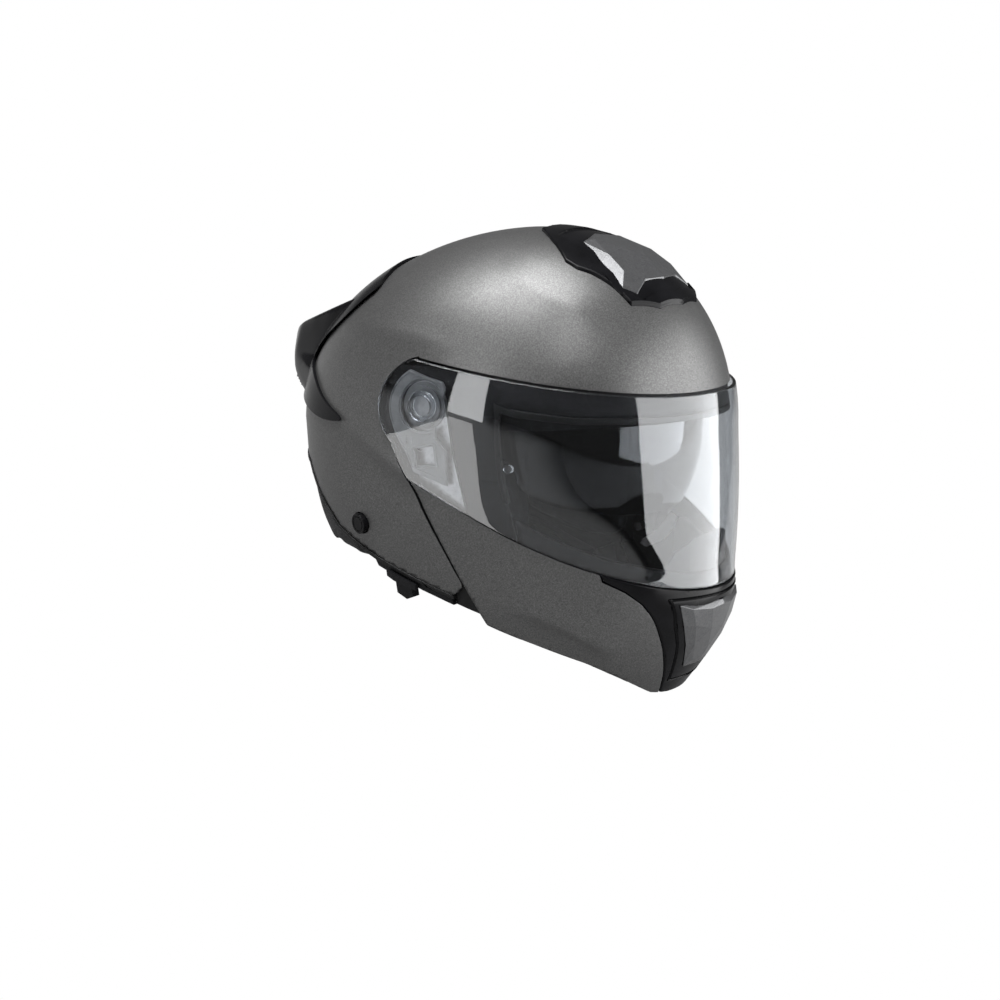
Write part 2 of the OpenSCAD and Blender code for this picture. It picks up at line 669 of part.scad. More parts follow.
module sun_visor() color([0.1, 0.12, 0.2, 0.8]) stand() moulded() difference() {
    intersection() {
        difference() {
            sun_body(0);
            sun_body(-2);
        }
        side(moved([[8, 8], [8, -9], [-34, -12], [-36, -40], [-92, -54], [-130, -60], [-130, 90], [-84, 92],
            [-66, 84], [-52, 50], [-30, 12]], SUN_AXIS));
    }
    axle(SUN_AXIS, 6.9, -100, 100);
}
module sun_bushes() color([0.1, 0.1, 0.1]) stand() both() difference() {
    axle(SUN_AXIS, 7, -97.6, -93.6);
    axle(SUN_AXIS, 3 + running, -110, -90);
}

module top_vent_slider() color([0.42, 0.42, 0.44]) stand() moulded() intersection() {
    difference() {
        skin(-7);
        skin(-3);
    }
    above([[0, -66], [-25, -66.5], [-38, -88], [-44, -107], [-34, -115], [-19, -119], [0, -120]], 40, 130);
}

outer_shell();
eps_liner();
crown_pad();
cheek_pad_right();
cheek_pad_left();
neck_roll();
edge_trim();
eyeport_gasket();
rear_spoiler();
exhaust_grille();
top_vent_base();
pivot_pin_right();
pivot_pin_left();
latch_pins();
strap_anchors();
anchor_caps();
sun_track();
sun_cable();
sun_pins();
strap_right();
strap_left();
buckle_receiver();
strap_tongue();
buckle_pin();
chin_bar();
chin_bar_liner();
chin_vent_base();
hinge_arm_right();
hinge_arm_left();
pivot_plate_right();
pivot_plate_left();
pivot_hub_right();
pivot_hub_left();
arm_screws();
breath_deflector();
chin_curtain();
visor();
visor_boss_right();
visor_boss_left();
pinlock_pins();
sun_visor();
sun_bushes();
sun_lever();
top_vent_slider();
chin_vent_slider();
release_button();
latch_hook_right();
latch_hook_left();
buckle_lever();
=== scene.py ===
import math

import bmesh
import bpy
import numpy as np
from mathutils import Matrix, Vector
from mathutils.geometry import delaunay_2d_cdt


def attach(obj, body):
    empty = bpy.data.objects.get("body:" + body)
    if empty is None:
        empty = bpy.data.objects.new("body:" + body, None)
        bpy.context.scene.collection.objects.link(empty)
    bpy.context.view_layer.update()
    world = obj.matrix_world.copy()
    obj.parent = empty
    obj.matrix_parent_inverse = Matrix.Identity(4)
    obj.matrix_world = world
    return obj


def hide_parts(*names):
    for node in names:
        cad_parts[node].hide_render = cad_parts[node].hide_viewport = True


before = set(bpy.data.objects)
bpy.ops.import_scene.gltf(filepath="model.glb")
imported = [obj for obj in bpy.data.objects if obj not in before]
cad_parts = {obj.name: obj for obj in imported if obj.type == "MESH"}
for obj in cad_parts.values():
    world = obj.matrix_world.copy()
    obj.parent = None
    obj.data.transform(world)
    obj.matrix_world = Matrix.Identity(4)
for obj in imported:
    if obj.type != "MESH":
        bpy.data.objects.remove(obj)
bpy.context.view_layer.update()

# The helmet is drawn upright as worn, in millimetres, with +Y backwards, +Z up and the origin on the
# pivot axis. STAND leans it back onto the floor, and TO_FRAME also scales it to metres.
LEAN, PIVOT_BACK, PIVOT_HEIGHT = math.radians(21), 15.4, 141.2
STAND = Matrix.Translation((0, PIVOT_BACK, PIVOT_HEIGHT)) @ Matrix.Rotation(-LEAN, 4, "X")
TO_FRAME = Matrix.Scale(0.001, 4) @ STAND
TO_WORN = TO_FRAME.inverted()

# ---- the skin, the same smooth surface that the CAD model is cut from ----
HALF_WIDTH, CROWN_HEIGHT = 122, 110.5
WAIST, FLOOR_Z, FOOT_Z = -20, -200, -110
CROWN_Y, MIDDLE_Y = -22, 5
CROWN_FRONT, CROWN_REAR = -154, 144
# How round the crown is: upwards, across, forwards and backwards, then the plan's oval ahead and behind
LIFT_POWER, HALF_POWER, FRONT_POWER, REAR_POWER = 0.97, 0.95, 0.86, 1.12
OVAL_AHEAD, OVAL_BEHIND = 2.15, 2.2
# The waist column: at each level, the half width and where the front and the rear are
LEVEL_Z = np.array([-200, -175, -150, -130, -100, -60, -20.0])
LEVEL_HALF = np.array([78, 92, 102.5, 108.5, 115, 121, 122.0])
LEVEL_FRONT = np.array([-122, -140, -153, -158.5, -158.5, -157, -154.0])
LEVEL_REAR = np.array([90, 97, 104, 112, 125, 140, 144.0])


def smooth_column(column, z):
    """A smooth curve through a column's values, with no overshoot between its levels."""
    rate = np.diff(column) / np.diff(LEVEL_Z)
    slope = np.concatenate([[rate[0]], np.zeros(len(column) - 2), [rate[-1]]])
    for i in range(1, len(column) - 1):
        a, b = rate[i - 1], rate[i]
        slope[i] = 0 if a * b <= 0 else 2 * a * b / (a + b)
    z = np.clip(z, LEVEL_Z[0], LEVEL_Z[-1])
    i = np.clip(np.searchsorted(LEVEL_Z, z, side="right") - 1, 0, len(LEVEL_Z) - 2)
    h = LEVEL_Z[i + 1] - LEVEL_Z[i]
    s = (z - LEVEL_Z[i]) / h
    return ((2 * s**3 - 3 * s**2 + 1) * column[i] + (s**3 - 2 * s**2 + s) * h * slope[i]
            + (-2 * s**3 + 3 * s**2) * column[i + 1] + (s**3 - s**2) * h * slope[i + 1])


def skin_points(z, bearing, depth=0.0, foot=None):
    """Points of the skin at heights z and bearings in degrees (0 front, 90 right), moved inwards by depth."""
    z, bearing = np.broadcast_arrays(np.asarray(z, float), np.asarray(bearing, float))
    foot = depth if foot is None else foot
    d = np.where(z >= WAIST, depth, foot + (depth - foot) * np.clip((z - FOOT_Z) / (WAIST - FOOT_Z), 0, 1))
    top = CROWN_HEIGHT - depth
    lift = np.clip((z - WAIST) / (top - WAIST), 0, 1)
    t = np.arcsin(np.clip(lift ** (1 / LIFT_POWER), 0, 1))
    low = z <= WAIST
    half = np.where(low, smooth_column(LEVEL_HALF, z) - d, (HALF_WIDTH - depth) * np.cos(t) ** HALF_POWER)
    front = np.where(low, smooth_column(LEVEL_FRONT, z) + d,
                     CROWN_Y + (CROWN_FRONT + depth - CROWN_Y) * np.cos(t) ** FRONT_POWER)
    rear = np.where(low, smooth_column(LEVEL_REAR, z) - d,
                    CROWN_Y + (CROWN_REAR - depth - CROWN_Y) * np.cos(t) ** REAR_POWER)
    centre = MIDDLE_Y + (CROWN_Y - MIDDLE_Y) * np.where(low, 0, lift)
    p = np.radians(bearing)
    ahead = np.cos(p) > 0
    n = np.where(ahead, OVAL_AHEAD, OVAL_BEHIND)
    reach = np.maximum(np.where(ahead, centre - front, rear - centre), 1e-3)
    half = np.maximum(half, 1e-3)
    r = (np.abs(np.cos(p) / reach) ** n + np.abs(np.sin(p) / half) ** n) ** (-1 / n)
    return np.stack([-r * np.sin(p), centre - r * np.cos(p), z], -1)


def inside(outline, y, z):
    """Which points (y, z) are within a closed outline."""
    hit = np.zeros(np.shape(y), bool)
    for (y0, z0), (y1, z1) in zip(outline, outline[1:] + outline[:1]):
        cross = (z0 > z) != (z1 > z)
        with np.errstate(divide="ignore", invalid="ignore"):
            at = (y1 - y0) * (z - z0) / (z1 - z0) + y0
        hit ^= cross & (y < at)
    return hit


# ---- solids in worn millimetres, cut and joined ----
def placed(name, data):
    o = bpy.data.objects.new(name, data)
    bpy.context.collection.objects.link(o)
    return o


def finished_mesh(o):
    """The mesh of an object with its modifiers applied."""
    return bpy.data.meshes.new_from_object(o.evaluated_get(bpy.context.evaluated_depsgraph_get()))


def edited(mesh, *steps):
    bm = bmesh.new()
    bm.from_mesh(mesh)
    for step in steps:
        step(bm)
    bm.to_mesh(mesh)
    bm.free()


def between_rings(n, rings):
    """Faces between neighbouring rings of n points."""
    return [(i * n + j, i * n + (j + 1) % n, (i + 1) * n + (j + 1) % n, (i + 1) * n + j)
            for i in range(rings - 1) for j in range(n)]


def solid(points, faces):
    """A closed solid from its points and faces, with every face turned outwards."""
    mesh = bpy.data.meshes.new("work")
    mesh.from_pydata([tuple(p) for p in points], [], [tuple(f) for f in faces])
    edited(mesh, lambda bm: bmesh.ops.recalc_face_normals(bm, faces=bm.faces))
    return placed("work", mesh)


# Raised body lines on each side, in the side view: points (y, z), height, how far it fades above and below
CREASES = [
    ([(66, -13), (39, -29), (18, -41), (4, -50), (-8, -60)], 3.0, 15, 4),
    ([(96, 40), (73, 46), (40, 46), (10, 42), (-18, 36), (-50, 34)], 1.6, 7, 22),
    ([(-50, -128), (-75, -134), (-92, -143), (-107, -154), (-117, -162)], 3.0, 18, 6),
    ([(-30, 92), (-58, 78), (-84, 66), (-106, 52)], 1.6, 10, 14),
]
# Lines keep this share of their height at their ends, and a hollow runs below each one
END_SHARE, HOLLOW, HOLLOW_REACH = 0.1, 1.7, 20
# The lines fade out this far from the middle plane, over this width
QUIET_HALF, QUIET_FADE = 25, 35
INSIDE_POINT = np.array([0, -5, -30.0])


def relief(p):
    """Height of the body lines at worn-frame points."""
    y, z = p[:, 1], p[:, 2]
    total = np.zeros(len(p))
    for line, height, up, down in CREASES:
        best, value = np.full(len(p), 1e9), np.zeros(len(p))
        count = len(line) - 1
        for i in range(count):
            a, b = np.array(line[i], float), np.array(line[i + 1], float)
            d = b - a
            t = ((y - a[0]) * d[0] + (z - a[1]) * d[1]) / (d @ d)
            tc = np.clip(t, 0, 1)
            dy, dz = y - a[0] - tc * d[0], z - a[1] - tc * d[1]
            far = np.hypot(dy, dz)
            along = (i + tc) / count
            fade = np.clip(np.minimum(along, 1 - along) * 4, 0, 1)
            over = dz > 0
            here = height * np.exp(-far / np.where(over, up, down)) * (END_SHARE + (1 - END_SHARE) * fade)
            hollow = HOLLOW * height * fade * (far / HOLLOW_REACH) * np.exp(-far / HOLLOW_REACH)
            here -= np.where(over, 0, hollow)
            nearer = far < best
            best, value = np.where(nearer, far, best), np.where(nearer, here, value)
        total += value
    return total * np.clip((np.abs(p[:, 0]) - QUIET_HALF) / QUIET_FADE, 0, 1)


def skin(depth, foot=None, around=144, below=26, above=24, lined=False):
    """Closed solid inside the skin, moved inwards by depth; lined adds the body lines."""
    zs = list(np.linspace(FLOOR_Z, WAIST, below))
    top = CROWN_HEIGHT - depth
    turns = np.linspace(0, math.pi / 2, above + 1)[1:-1]
    zs += [WAIST + (top - WAIST) * math.sin(t) ** LIFT_POWER for t in turns]
    rings = [skin_points(np.full(around, z), np.arange(around) * 360 / around, depth, foot) for z in zs]
    rings[0][:, 2] -= max(0, depth)
    if lined:
        for i, ring in enumerate(rings[1:], 1):
            out = ring - INSIDE_POINT
            out /= np.linalg.norm(out, axis=1)[:, None]
            rings[i] = ring + out * relief(ring)[:, None]
    points = list(np.concatenate(rings)) + [(0, CROWN_Y, top)]
    n, last = around, len(zs) - 1
    faces = [list(range(n))] + between_rings(n, len(zs))
    faces += [(last * n + j, last * n + (j + 1) % n, (last + 1) * n) for j in range(n)]
    return solid(points, faces)


def prism(outline, low, high, place):
    """An outline swept from low to high, along the axis that place gives."""
    n = len(outline)
    points = [place(a, b, low) for a, b in outline] + [place(a, b, high) for a, b in outline]
    return solid(points, [list(range(n)), list(range(n, 2 * n))] + between_rings(n, 2))


def side(outline, low=-140, high=140):
    """Prism of an outline in the side view, of points (y, z)."""
    return prism(outline, low, high, lambda y, z, x: (x, y, z))


def doubled(outline):
    """A half outline, which starts and ends on the middle plane, with its mirror image."""
    return [(-a, b) for a, b in outline] + [(a, b) for a, b in outline[::-1] if a != 0]


def front(outline, low, high):
    return prism(doubled([(abs(a), b) for a, b in outline]), low, high, lambda x, z, y: (x, y, z))


def above(outline, low, high):
    return prism(doubled([(abs(a), b) for a, b in outline]), low, high, lambda x, y, z: (x, y, z))


def axle(y, z, r, low, high, sides=64):
    turns = np.linspace(0, 2 * math.pi, sides, endpoint=False)
    return side([(y + r * math.cos(a), z + r * math.sin(a)) for a in turns], low, high)


def block(low, high):
    (x0, y0, z0), (x1, y1, z1) = low, high
    return side([(y0, z0), (y1, z0), (y1, z1), (y0, z1)], x0, x1)


def boolean(a, others, kind):
    for b in others:
        m = a.modifiers.new("cut", "BOOLEAN")
        m.operation, m.object, m.solver = kind, b, "MANIFOLD"
        mesh = finished_mesh(a)
        a.modifiers.clear()
        a.data = mesh
        bpy.data.objects.remove(b)
    return a


def cut(a, *others):
    return boolean(a, others, "DIFFERENCE")


def meet(a, *others):
    return boolean(a, others, "INTERSECT")


def join(a, *others):
    return boolean(a, others, "UNION")


def layer(outer, inner, **fine):
    """The wall between two depths of the skin."""
    return cut(skin(outer, **fine), skin(inner))


# Facet counts for a close look, and the same with the body lines
FINE = {"around": 288, "below": 60, "above": 44}
LINED = dict(FINE, lined=True)


def on_skin(c):
    """Whether worn-frame points lie on the painted outer face of the skin."""
    top = CROWN_HEIGHT
    lift = np.clip((c[:, 2] - WAIST) / (top - WAIST), 0, 1)
    middle = MIDDLE_Y + (CROWN_Y - MIDDLE_Y) * lift
    y = c[:, 1] - middle
    ideal = skin_points(np.minimum(c[:, 2], top - 0.5), np.degrees(np.arctan2(-c[:, 0], -y)))
    reach = np.hypot(ideal[:, 0], ideal[:, 1] - middle)
    return (np.hypot(c[:, 0], y) > reach - 2.2 - 3 * lift ** 4) | (c[:, 2] > top - 2.5)


def flat_sided(depth, face):
    """Solid inside the skin, cut flat on both sides for the hinges."""
    return meet(skin(depth), block((-face, -200, -215), (face, 200, 200)))


def above_table():
    """All the space above the floor that the helmet stands on."""
    table = block((-200, -300, 0), (200, 300, 500))
    table.data.transform(STAND.inverted())
    return table


def hull(points):
    mesh = bpy.data.meshes.new("work")
    bm = bmesh.new()
    for p in points:
        bm.verts.new(p)
    made = bmesh.ops.convex_hull(bm, input=bm.verts)
    loose = {v for v in made["geom_interior"] + made["geom_unused"] if isinstance(v, bmesh.types.BMVert)}
    bmesh.ops.delete(bm, geom=[v for v in bm.verts if v in loose], context="VERTS")
    bmesh.ops.recalc_face_normals(bm, faces=bm.faces)
    bm.to_mesh(mesh)
    bm.free()
    return placed("work", mesh)


# ---- outlines, as in the CAD model ----
GAP = 0.9
POD_RADIUS = 31
SHELL_WALL = 4
HINGE_FACE = 110.5
RECESS, FLANGE_DEPTH = 2.2, 7.6
CHIN_INSET = 1.2
SPLIT_TOP, SPLIT_FOOT = (6.5, -49), (-38, -143)
VISOR_FOOT = [(7.8, -47.8), (-20, -60.5), (-61, -82.5), (-107, -103.5), (-152, -119.5), (-170, -125)]
CHIN_FOOT = [(-170, -198.5), (-123, -198.5), (-117, -184), (-104, -172), (-83, -162), (-60, -152)]
SHELL_FOOT = [
    (160, -35), (113, -47), (95, -68), (76, -87), (59, -95), (39, -103), (7, -115), (-18, -124), (-25, -118)]
CHIN_BASE = [
    (0, -90), (60, -90), (84, -104), (82, -111), (72, -118.5), (63, -127.5), (55, -139), (47, -152),
    (34, -172), (17, -199), (0, -199)]
TOP_BASE = [
    (0, -33), (19, -33), (35, -49), (53, -70), (54, -79), (51, -88), (48, -103), (47, -115), (27, -126),
    (0, -129)]
SUN_AXIS = (-20, -20)


def rounded(points, closed=False, passes=2):
    """An outline with its corners cut a few times, which rounds them."""
    pts = [tuple(p) for p in points]
    for _ in range(passes):
        new, n = [], len(pts)
        for i, p in enumerate(pts):
            if not closed and i in (0, n - 1):
                new.append(p)
                continue
            a, b = pts[i - 1], pts[(i + 1) % n]
            new.append((p[0] * 0.75 + a[0] * 0.25, p[1] * 0.75 + a[1] * 0.25))
            new.append((p[0] * 0.75 + b[0] * 0.25, p[1] * 0.75 + b[1] * 0.25))
        pts = new
    return pts


def moved(outline, dy, dz):
    return [(y + dy, z + dz) for y, z in outline]


# The brow line, the upper edge of the visor: its lowest height, its rise, where it starts and how far it runs
BROW_LOW, BROW_RISE, BROW_START, BROW_RUN, BROW_POWER = 7, 23, -152, 158, 1.12


def brow(y):
    return BROW_LOW + BROW_RISE * max(0, (y - BROW_START) / BROW_RUN) ** BROW_POWER


def brow_line(start, end, lift, steps=40):
    return [(y, brow(y) + lift) for y in np.linspace(start, end, steps)]


def pod_arc(r, start, end, steps=40):
    return [(r * math.cos(a), r * math.sin(a)) for a in np.radians(np.linspace(start, end, steps))]


VISOR_EDGE = rounded(VISOR_FOOT)
CHIN_LINE = rounded(CHIN_FOOT)


def visor_outline(out):
    """Side view of the visor, grown by out."""
    return (pod_arc(POD_RADIUS + out, 80, -50) + [(15 + out, -36)] + moved(VISOR_EDGE, 0, -out)
            + brow_line(5, -170, out)[::-1])


def chin_outline(inward):
    """Side view of the chin bar, with its rear edge moved forwards by inward."""
    return ([(SPLIT_TOP[0] - inward, SPLIT_TOP[1])] + moved(VISOR_EDGE[1:], 0, -GAP) + CHIN_LINE
            + [(SPLIT_FOOT[0] - inward, SPLIT_FOOT[1])])


FRONT_CUT = [
    (7.8, -46), (SPLIT_TOP[0] + 0.3, SPLIT_TOP[1] - 2), (-24.7, -114.5), (-25, -118), (-18, -124),
    (-18, -210), (-170, -210), (-170, -46)]
FLANGE = [
    (-49, 25), (-49, -12), (-50, -28), (-53, -48), (-58, -68), (-62, -95), (-60, -114), (-30, -114),
    (-19, -112), (8, -56), (26, -40), (38, -20), (38, 25)]
RIM = [
    (-22, -114), (-16, -113), (14, -51), (27, -38), (38, -20), (38, 12), (34, 30), (6, 37), (-49, 31),
    (-49, 24.5), (5, 32.5), (24, 22), (32.5, 2), (28, -17), (18, -36), (8, -50)]
EYE_LINE = [(-49, 5), (-62, 1), (-100, -4), (-170, -6)]
ANCHOR_TURN = Matrix.Rotation(math.radians(-22), 4, "Z") @ Matrix.Rotation(math.radians(-98), 4, "Y")
ANCHOR = Matrix.Translation((-111.5, 52, -82)) @ ANCHOR_TURN
MIRROR = Matrix.Scale(-1, 4, (1, 0, 0))
X_TO_Z = Matrix(((0, 1, 0, 0), (0, 0, 1, 0), (1, 0, 0, 0), (0, 0, 0, 1)))


def flipped(o):
    o.data.transform(MIRROR)
    o.data.flip_normals()
    return o


def handed(o, tag):
    """A right-hand solid, or its mirror image for the left."""
    return flipped(o) if tag == "left" else o


def disc_at(matrix, r, low, high):
    """Cylinder about the Z axis of a placement."""
    o = axle(0, 0, r, low, high, 48)
    o.data.transform(matrix @ X_TO_Z)
    return o


# ---- materials ----
def nodes_of(mat):
    return mat.node_tree.nodes, mat.node_tree.links


def added(nodes, kind, **values):
    """A new shader node with some of its inputs set; _ in a name stands for a space."""
    node = nodes.new("ShaderNode" + kind)
    for name, value in values.items():
        node.inputs[name.replace("_", " ")].default_value = value
    return node


def texture(where, kind, output="Fac", direction=None, **values):
    """The output of a texture node that is read at the given coordinates."""
    tree = where.id_data
    node = added(tree.nodes, "Tex" + kind, **values)
    if direction:
        node.bands_direction = direction
    tree.links.new(where, node.inputs["Vector"])
    return node.outputs[output]


def weave(where, scale):
    """Two crossed thread directions, whichever is higher."""
    both = where.id_data.nodes.new("ShaderNodeMath")
    both.operation = "MAXIMUM"
    for i, way in enumerate(("X", "Z")):
        thread = texture(where, "Wave", direction=way, Scale=scale, Distortion=0.6)
        where.id_data.links.new(thread, both.inputs[i])
    return both.outputs[0]


BAND_WAYS = {"web": "DIAGONAL", "ribs": "Y"}


def pattern_height(where, pattern, scale):
    """The height of a surface pattern, of the given number of repeats to the metre."""
    if pattern == "weave":
        return weave(where, scale)
    if pattern in BAND_WAYS:
        return texture(where, "Wave", direction=BAND_WAYS[pattern], Scale=scale)
    if pattern == "knit":
        return texture(where, "Voronoi", "Distance", Scale=scale)
    return texture(where, "Noise", Scale=scale, Detail=2)


CLOTHS = ("weave", "web", "knit")
# How strongly painted shade darkens the low parts of a cloth's pattern, and the sheen's roughness
CLOTH_PAINTED_SHADE, SHEEN_ROUGH = 0.45, 0.6
WEAR_SCALE, WEAR_DETAIL, SMOOTHEST = 34, 6, 0.02


def material(name, dark, light, rough, metal=0.0, scale=60.0, bump=0.05, bump_scale=None, distance=0.0004,
             coat=0.0, coat_rough=0.08, sheen=0.0, pattern="noise", spread=0.12, specular=0.5):
    """Principled material with procedural colour, roughness and bump; a colour may be one number, a grey."""
    mat = bpy.data.materials.new(name)
    mat.use_nodes = True
    nodes, links = nodes_of(mat)
    shader = nodes["Principled BSDF"]
    for socket, value in (("Metallic", metal), ("Coat Weight", coat), ("Coat Roughness", coat_rough),
                          ("Sheen Weight", sheen), ("Sheen Roughness", SHEEN_ROUGH),
                          ("Specular IOR Level", specular)):
        shader.inputs[socket].default_value = value
    where = nodes.new("ShaderNodeTexCoord").outputs["Object"]
    height = texture(where, "Noise", Scale=scale, Detail=4.0)
    ramp = nodes.new("ShaderNodeValToRGB")
    for end, position, colour in zip(ramp.color_ramp.elements, (0.3, 0.7), (dark, light)):
        end.position, end.color = position, (*np.broadcast_to(colour, 3), 1)
    links.new(height, ramp.inputs["Fac"])
    links.new(ramp.outputs["Color"], shader.inputs["Base Color"])
    wear = texture(where, "Noise", Scale=WEAR_SCALE, Detail=WEAR_DETAIL)
    spreader = added(nodes, "MapRange", To_Min=max(SMOOTHEST, rough - spread / 2), To_Max=rough + spread / 2)
    links.new(wear, spreader.inputs["Value"])
    links.new(spreader.outputs["Result"], shader.inputs["Roughness"])
    if bump_scale:
        height = pattern_height(where, pattern, bump_scale)
    # Cloth colour is multiplied by the pattern's height, so it is darker where the pattern is low: painted
    # shade in its hollows
    if pattern in CLOTHS:
        shade = nodes.new("ShaderNodeMix")
        shade.data_type, shade.blend_type = "RGBA", "MULTIPLY"
        shade.inputs[0].default_value = CLOTH_PAINTED_SHADE
        links.new(ramp.outputs["Color"], shade.inputs[6])
        links.new(height, shade.inputs[7])
        links.new(shade.outputs[2], shader.inputs["Base Color"])
    bumper = added(nodes, "Bump", Strength=bump, Distance=distance)
    links.new(height, bumper.inputs["Height"])
    links.new(bumper.outputs["Normal"], shader.inputs["Normal"])
    return mat


FLAKE_SCALE, FLAKE_START = 2600, 0.35


def flaked(mat, amount, bright):
    """Adds metallic flakes to a paint: fine cells, some of which are brighter."""
    nodes, links = nodes_of(mat)
    shader = nodes["Principled BSDF"]
    base = shader.inputs["Base Color"].links[0].from_socket
    where = next(n for n in nodes if n.type == "TEX_COORD").outputs["Object"]
    cells = texture(where, "Voronoi", "Color", Scale=FLAKE_SCALE)
    split = nodes.new("ShaderNodeSeparateColor")
    links.new(cells, split.inputs["Color"])
    glint = added(nodes, "MapRange", From_Min=FLAKE_START, To_Max=amount)
    links.new(split.outputs[0], glint.inputs["Value"])
    blend = nodes.new("ShaderNodeMix")
    blend.data_type = "RGBA"
    links.new(glint.outputs["Result"], blend.inputs[0])
    links.new(base, blend.inputs[6])
    blend.inputs[7].default_value = (*bright, 1)
    links.new(blend.outputs[2], shader.inputs["Base Color"])
    return mat


def clear(name, tint, rough, ior):
    mat = material(name, tuple(0.96 * c for c in tint), tint, rough, scale=20, bump=0.004, spread=0.02)
    shader = mat.node_tree.nodes["Principled BSDF"]
    shader.inputs["Transmission Weight"].default_value = 1.0
    shader.inputs["IOR"].default_value = ior
    return mat


PAINT = material("matt_titanium_paint", 0.074, 0.100, 0.40, metal=0.6,
                 scale=900, bump=0.06, distance=0.0001, spread=0.06, coat=0.05, coat_rough=0.4)
SATIN = material("vent_satin_grey", (0.085, 0.086, 0.09), (0.11, 0.112, 0.115), 0.30, metal=0.6,
                 scale=500, bump=0.05, distance=0.0001, spread=0.08)
MATS = {
    "shell_paint": flaked(PAINT, 0.40, (0.26, 0.26, 0.258)),
    "foam": material(
        "bead_foam", (0.008, 0.008, 0.009), (0.015, 0.015, 0.017), 0.75, scale=90, bump=0.5,
        pattern="knit", bump_scale=260, distance=0.0006, specular=0.2),
    "lining_fabric": material(
        "brushed_lining", (0.006, 0.0065, 0.008), (0.014, 0.015, 0.018), 0.9, scale=160, bump=0.35,
        pattern="knit", bump_scale=900, sheen=0.06, specular=0.15),
    "neck_fabric": material(
        "neck_roll_cloth", (0.014, 0.014, 0.015), (0.030, 0.030, 0.032), 0.85, scale=120, bump=0.5,
        pattern="weave", bump_scale=420, sheen=0.12, specular=0.2),
    "trim_rubber": material(
        "edge_rubber", 0.006, (0.012, 0.012, 0.013), 0.45, scale=200, bump=0.2,
        bump_scale=1400, specular=0.25),
    "gloss_black": material(
        "gloss_black_plastic", (0.004, 0.004, 0.0045), (0.007, 0.007, 0.008), 0.2, scale=70, bump=0.03,
        bump_scale=420, spread=0.08, specular=0.12),
    "matte_black": material(
        "moulded_black_plastic", (0.007, 0.007, 0.008), (0.013, 0.013, 0.015), 0.5, scale=300, bump=0.25,
        bump_scale=1800, specular=0.2),
    "vent_grey": flaked(SATIN, 0.35, (0.24, 0.24, 0.245)),
    "hinge_grey": material(
        "hinge_grey_plastic", (0.14, 0.143, 0.15), (0.19, 0.194, 0.20), 0.35, scale=160, bump=0.1,
        bump_scale=1500, spread=0.1),
    "steel": material(
        "brushed_steel", (0.38, 0.38, 0.39), (0.52, 0.52, 0.53), 0.3, metal=1.0, scale=300, bump=0.1,
        pattern="ribs", bump_scale=900, distance=0.0001),
    "webbing": material(
        "strap_webbing", (0.010, 0.010, 0.011), (0.022, 0.022, 0.024), 0.8, scale=240, bump=0.8,
        pattern="web", bump_scale=330, sheen=0.15),
    "clear_visor": clear("clear_visor_plastic", (0.90, 0.93, 0.96), 0.02, 1.52),
    "clear_plastic": clear("frosted_clear_plastic", (0.75, 0.77, 0.8), 0.18, 1.5),
    "smoke_visor": clear("smoke_visor_plastic", (0.05, 0.055, 0.075), 0.04, 1.5),
    "red_plastic": material(
        "red_plastic", (0.22, 0.012, 0.012), (0.32, 0.02, 0.018), 0.4, scale=120, bump=0.1, bump_scale=1200),
}


# ---- finishing a piece ----
WELD, INSIDE_WELD = 0.002, 0.8
CORNER_ANGLE, EDGE_ANGLE_DOT = 0.6, 0.8


def welded(bm):
    bmesh.ops.remove_doubles(bm, verts=bm.verts, dist=WELD)
    bmesh.ops.dissolve_degenerate(bm, edges=bm.edges, dist=WELD)


def corners_welded(bm):
    """Joins close vertices along sharp edges, which would spoil a bevel."""
    corners = [v for v in bm.verts
               if any(e.is_manifold and e.calc_face_angle(0) > CORNER_ANGLE for e in v.link_edges)]
    bmesh.ops.remove_doubles(bm, verts=corners, dist=INSIDE_WELD)
    bmesh.ops.dissolve_degenerate(bm, edges=bm.edges, dist=0.01)
    bmesh.ops.triangulate(bm, faces=[f for f in bm.faces if len(f.verts) > 4])


def painted_outside(mesh):
    """Gives faces off the outer skin the second material, and marks the sharp edges between the two."""
    centres = np.array([p.center for p in mesh.polygons])
    outward = np.array([p.normal for p in mesh.polygons])
    painted = on_skin(centres) & (np.einsum("ij,ij->i", outward, centres - INSIDE_POINT) > 0)
    mesh.polygons.foreach_set("material_index", np.where(painted, 0, 1).astype(np.int32))
    weights = mesh.attributes.new("bevel_weight_edge", "FLOAT", "EDGE")
    faces_at = {}
    for p in mesh.polygons:
        for key in p.edge_keys:
            faces_at.setdefault(key, []).append(p.index)
    for e in mesh.edges:
        pair = faces_at.get(tuple(sorted(e.vertices)), [])
        if len(pair) == 2 and painted[pair[0]] != painted[pair[1]]:
            if outward[pair[0]] @ outward[pair[1]] < EDGE_ANGLE_DOT:
                weights.data[e.index].value = 1.0


def piece(o, name, body, nodes, slot, bevel=0.45, angle=32, segments=2, smooth=True, inside_slot=None):
    """Puts a worn-frame solid in place, gives it its body, material and softened edges, and hides the CAD
    nodes that it replaces.
    """
    mesh = o.data
    edited(mesh, welded)
    o.name = name
    mesh.materials.clear()
    mesh.materials.append(MATS[slot])
    if inside_slot:
        mesh.materials.append(MATS[inside_slot])
        edited(mesh, corners_welded)
        painted_outside(mesh)
    mesh.transform(TO_FRAME)
    for p in mesh.polygons:
        p.use_smooth = smooth
    if smooth:
        mesh.set_sharp_from_angle(angle=math.radians(angle))
    if bevel:
        m = o.modifiers.new("soft_edges", "BEVEL")
        m.width, m.segments, m.angle_limit = bevel / 1000, segments, math.radians(angle)
        m.limit_method = "WEIGHT" if inside_slot else "ANGLE"
        m.use_clamp_overlap = False
        m.harden_normals = False
        w = o.modifiers.new("even_shading", "WEIGHTED_NORMAL")
        w.keep_sharp = False
    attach(o, body)
    if nodes:
        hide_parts(*nodes)
    return o


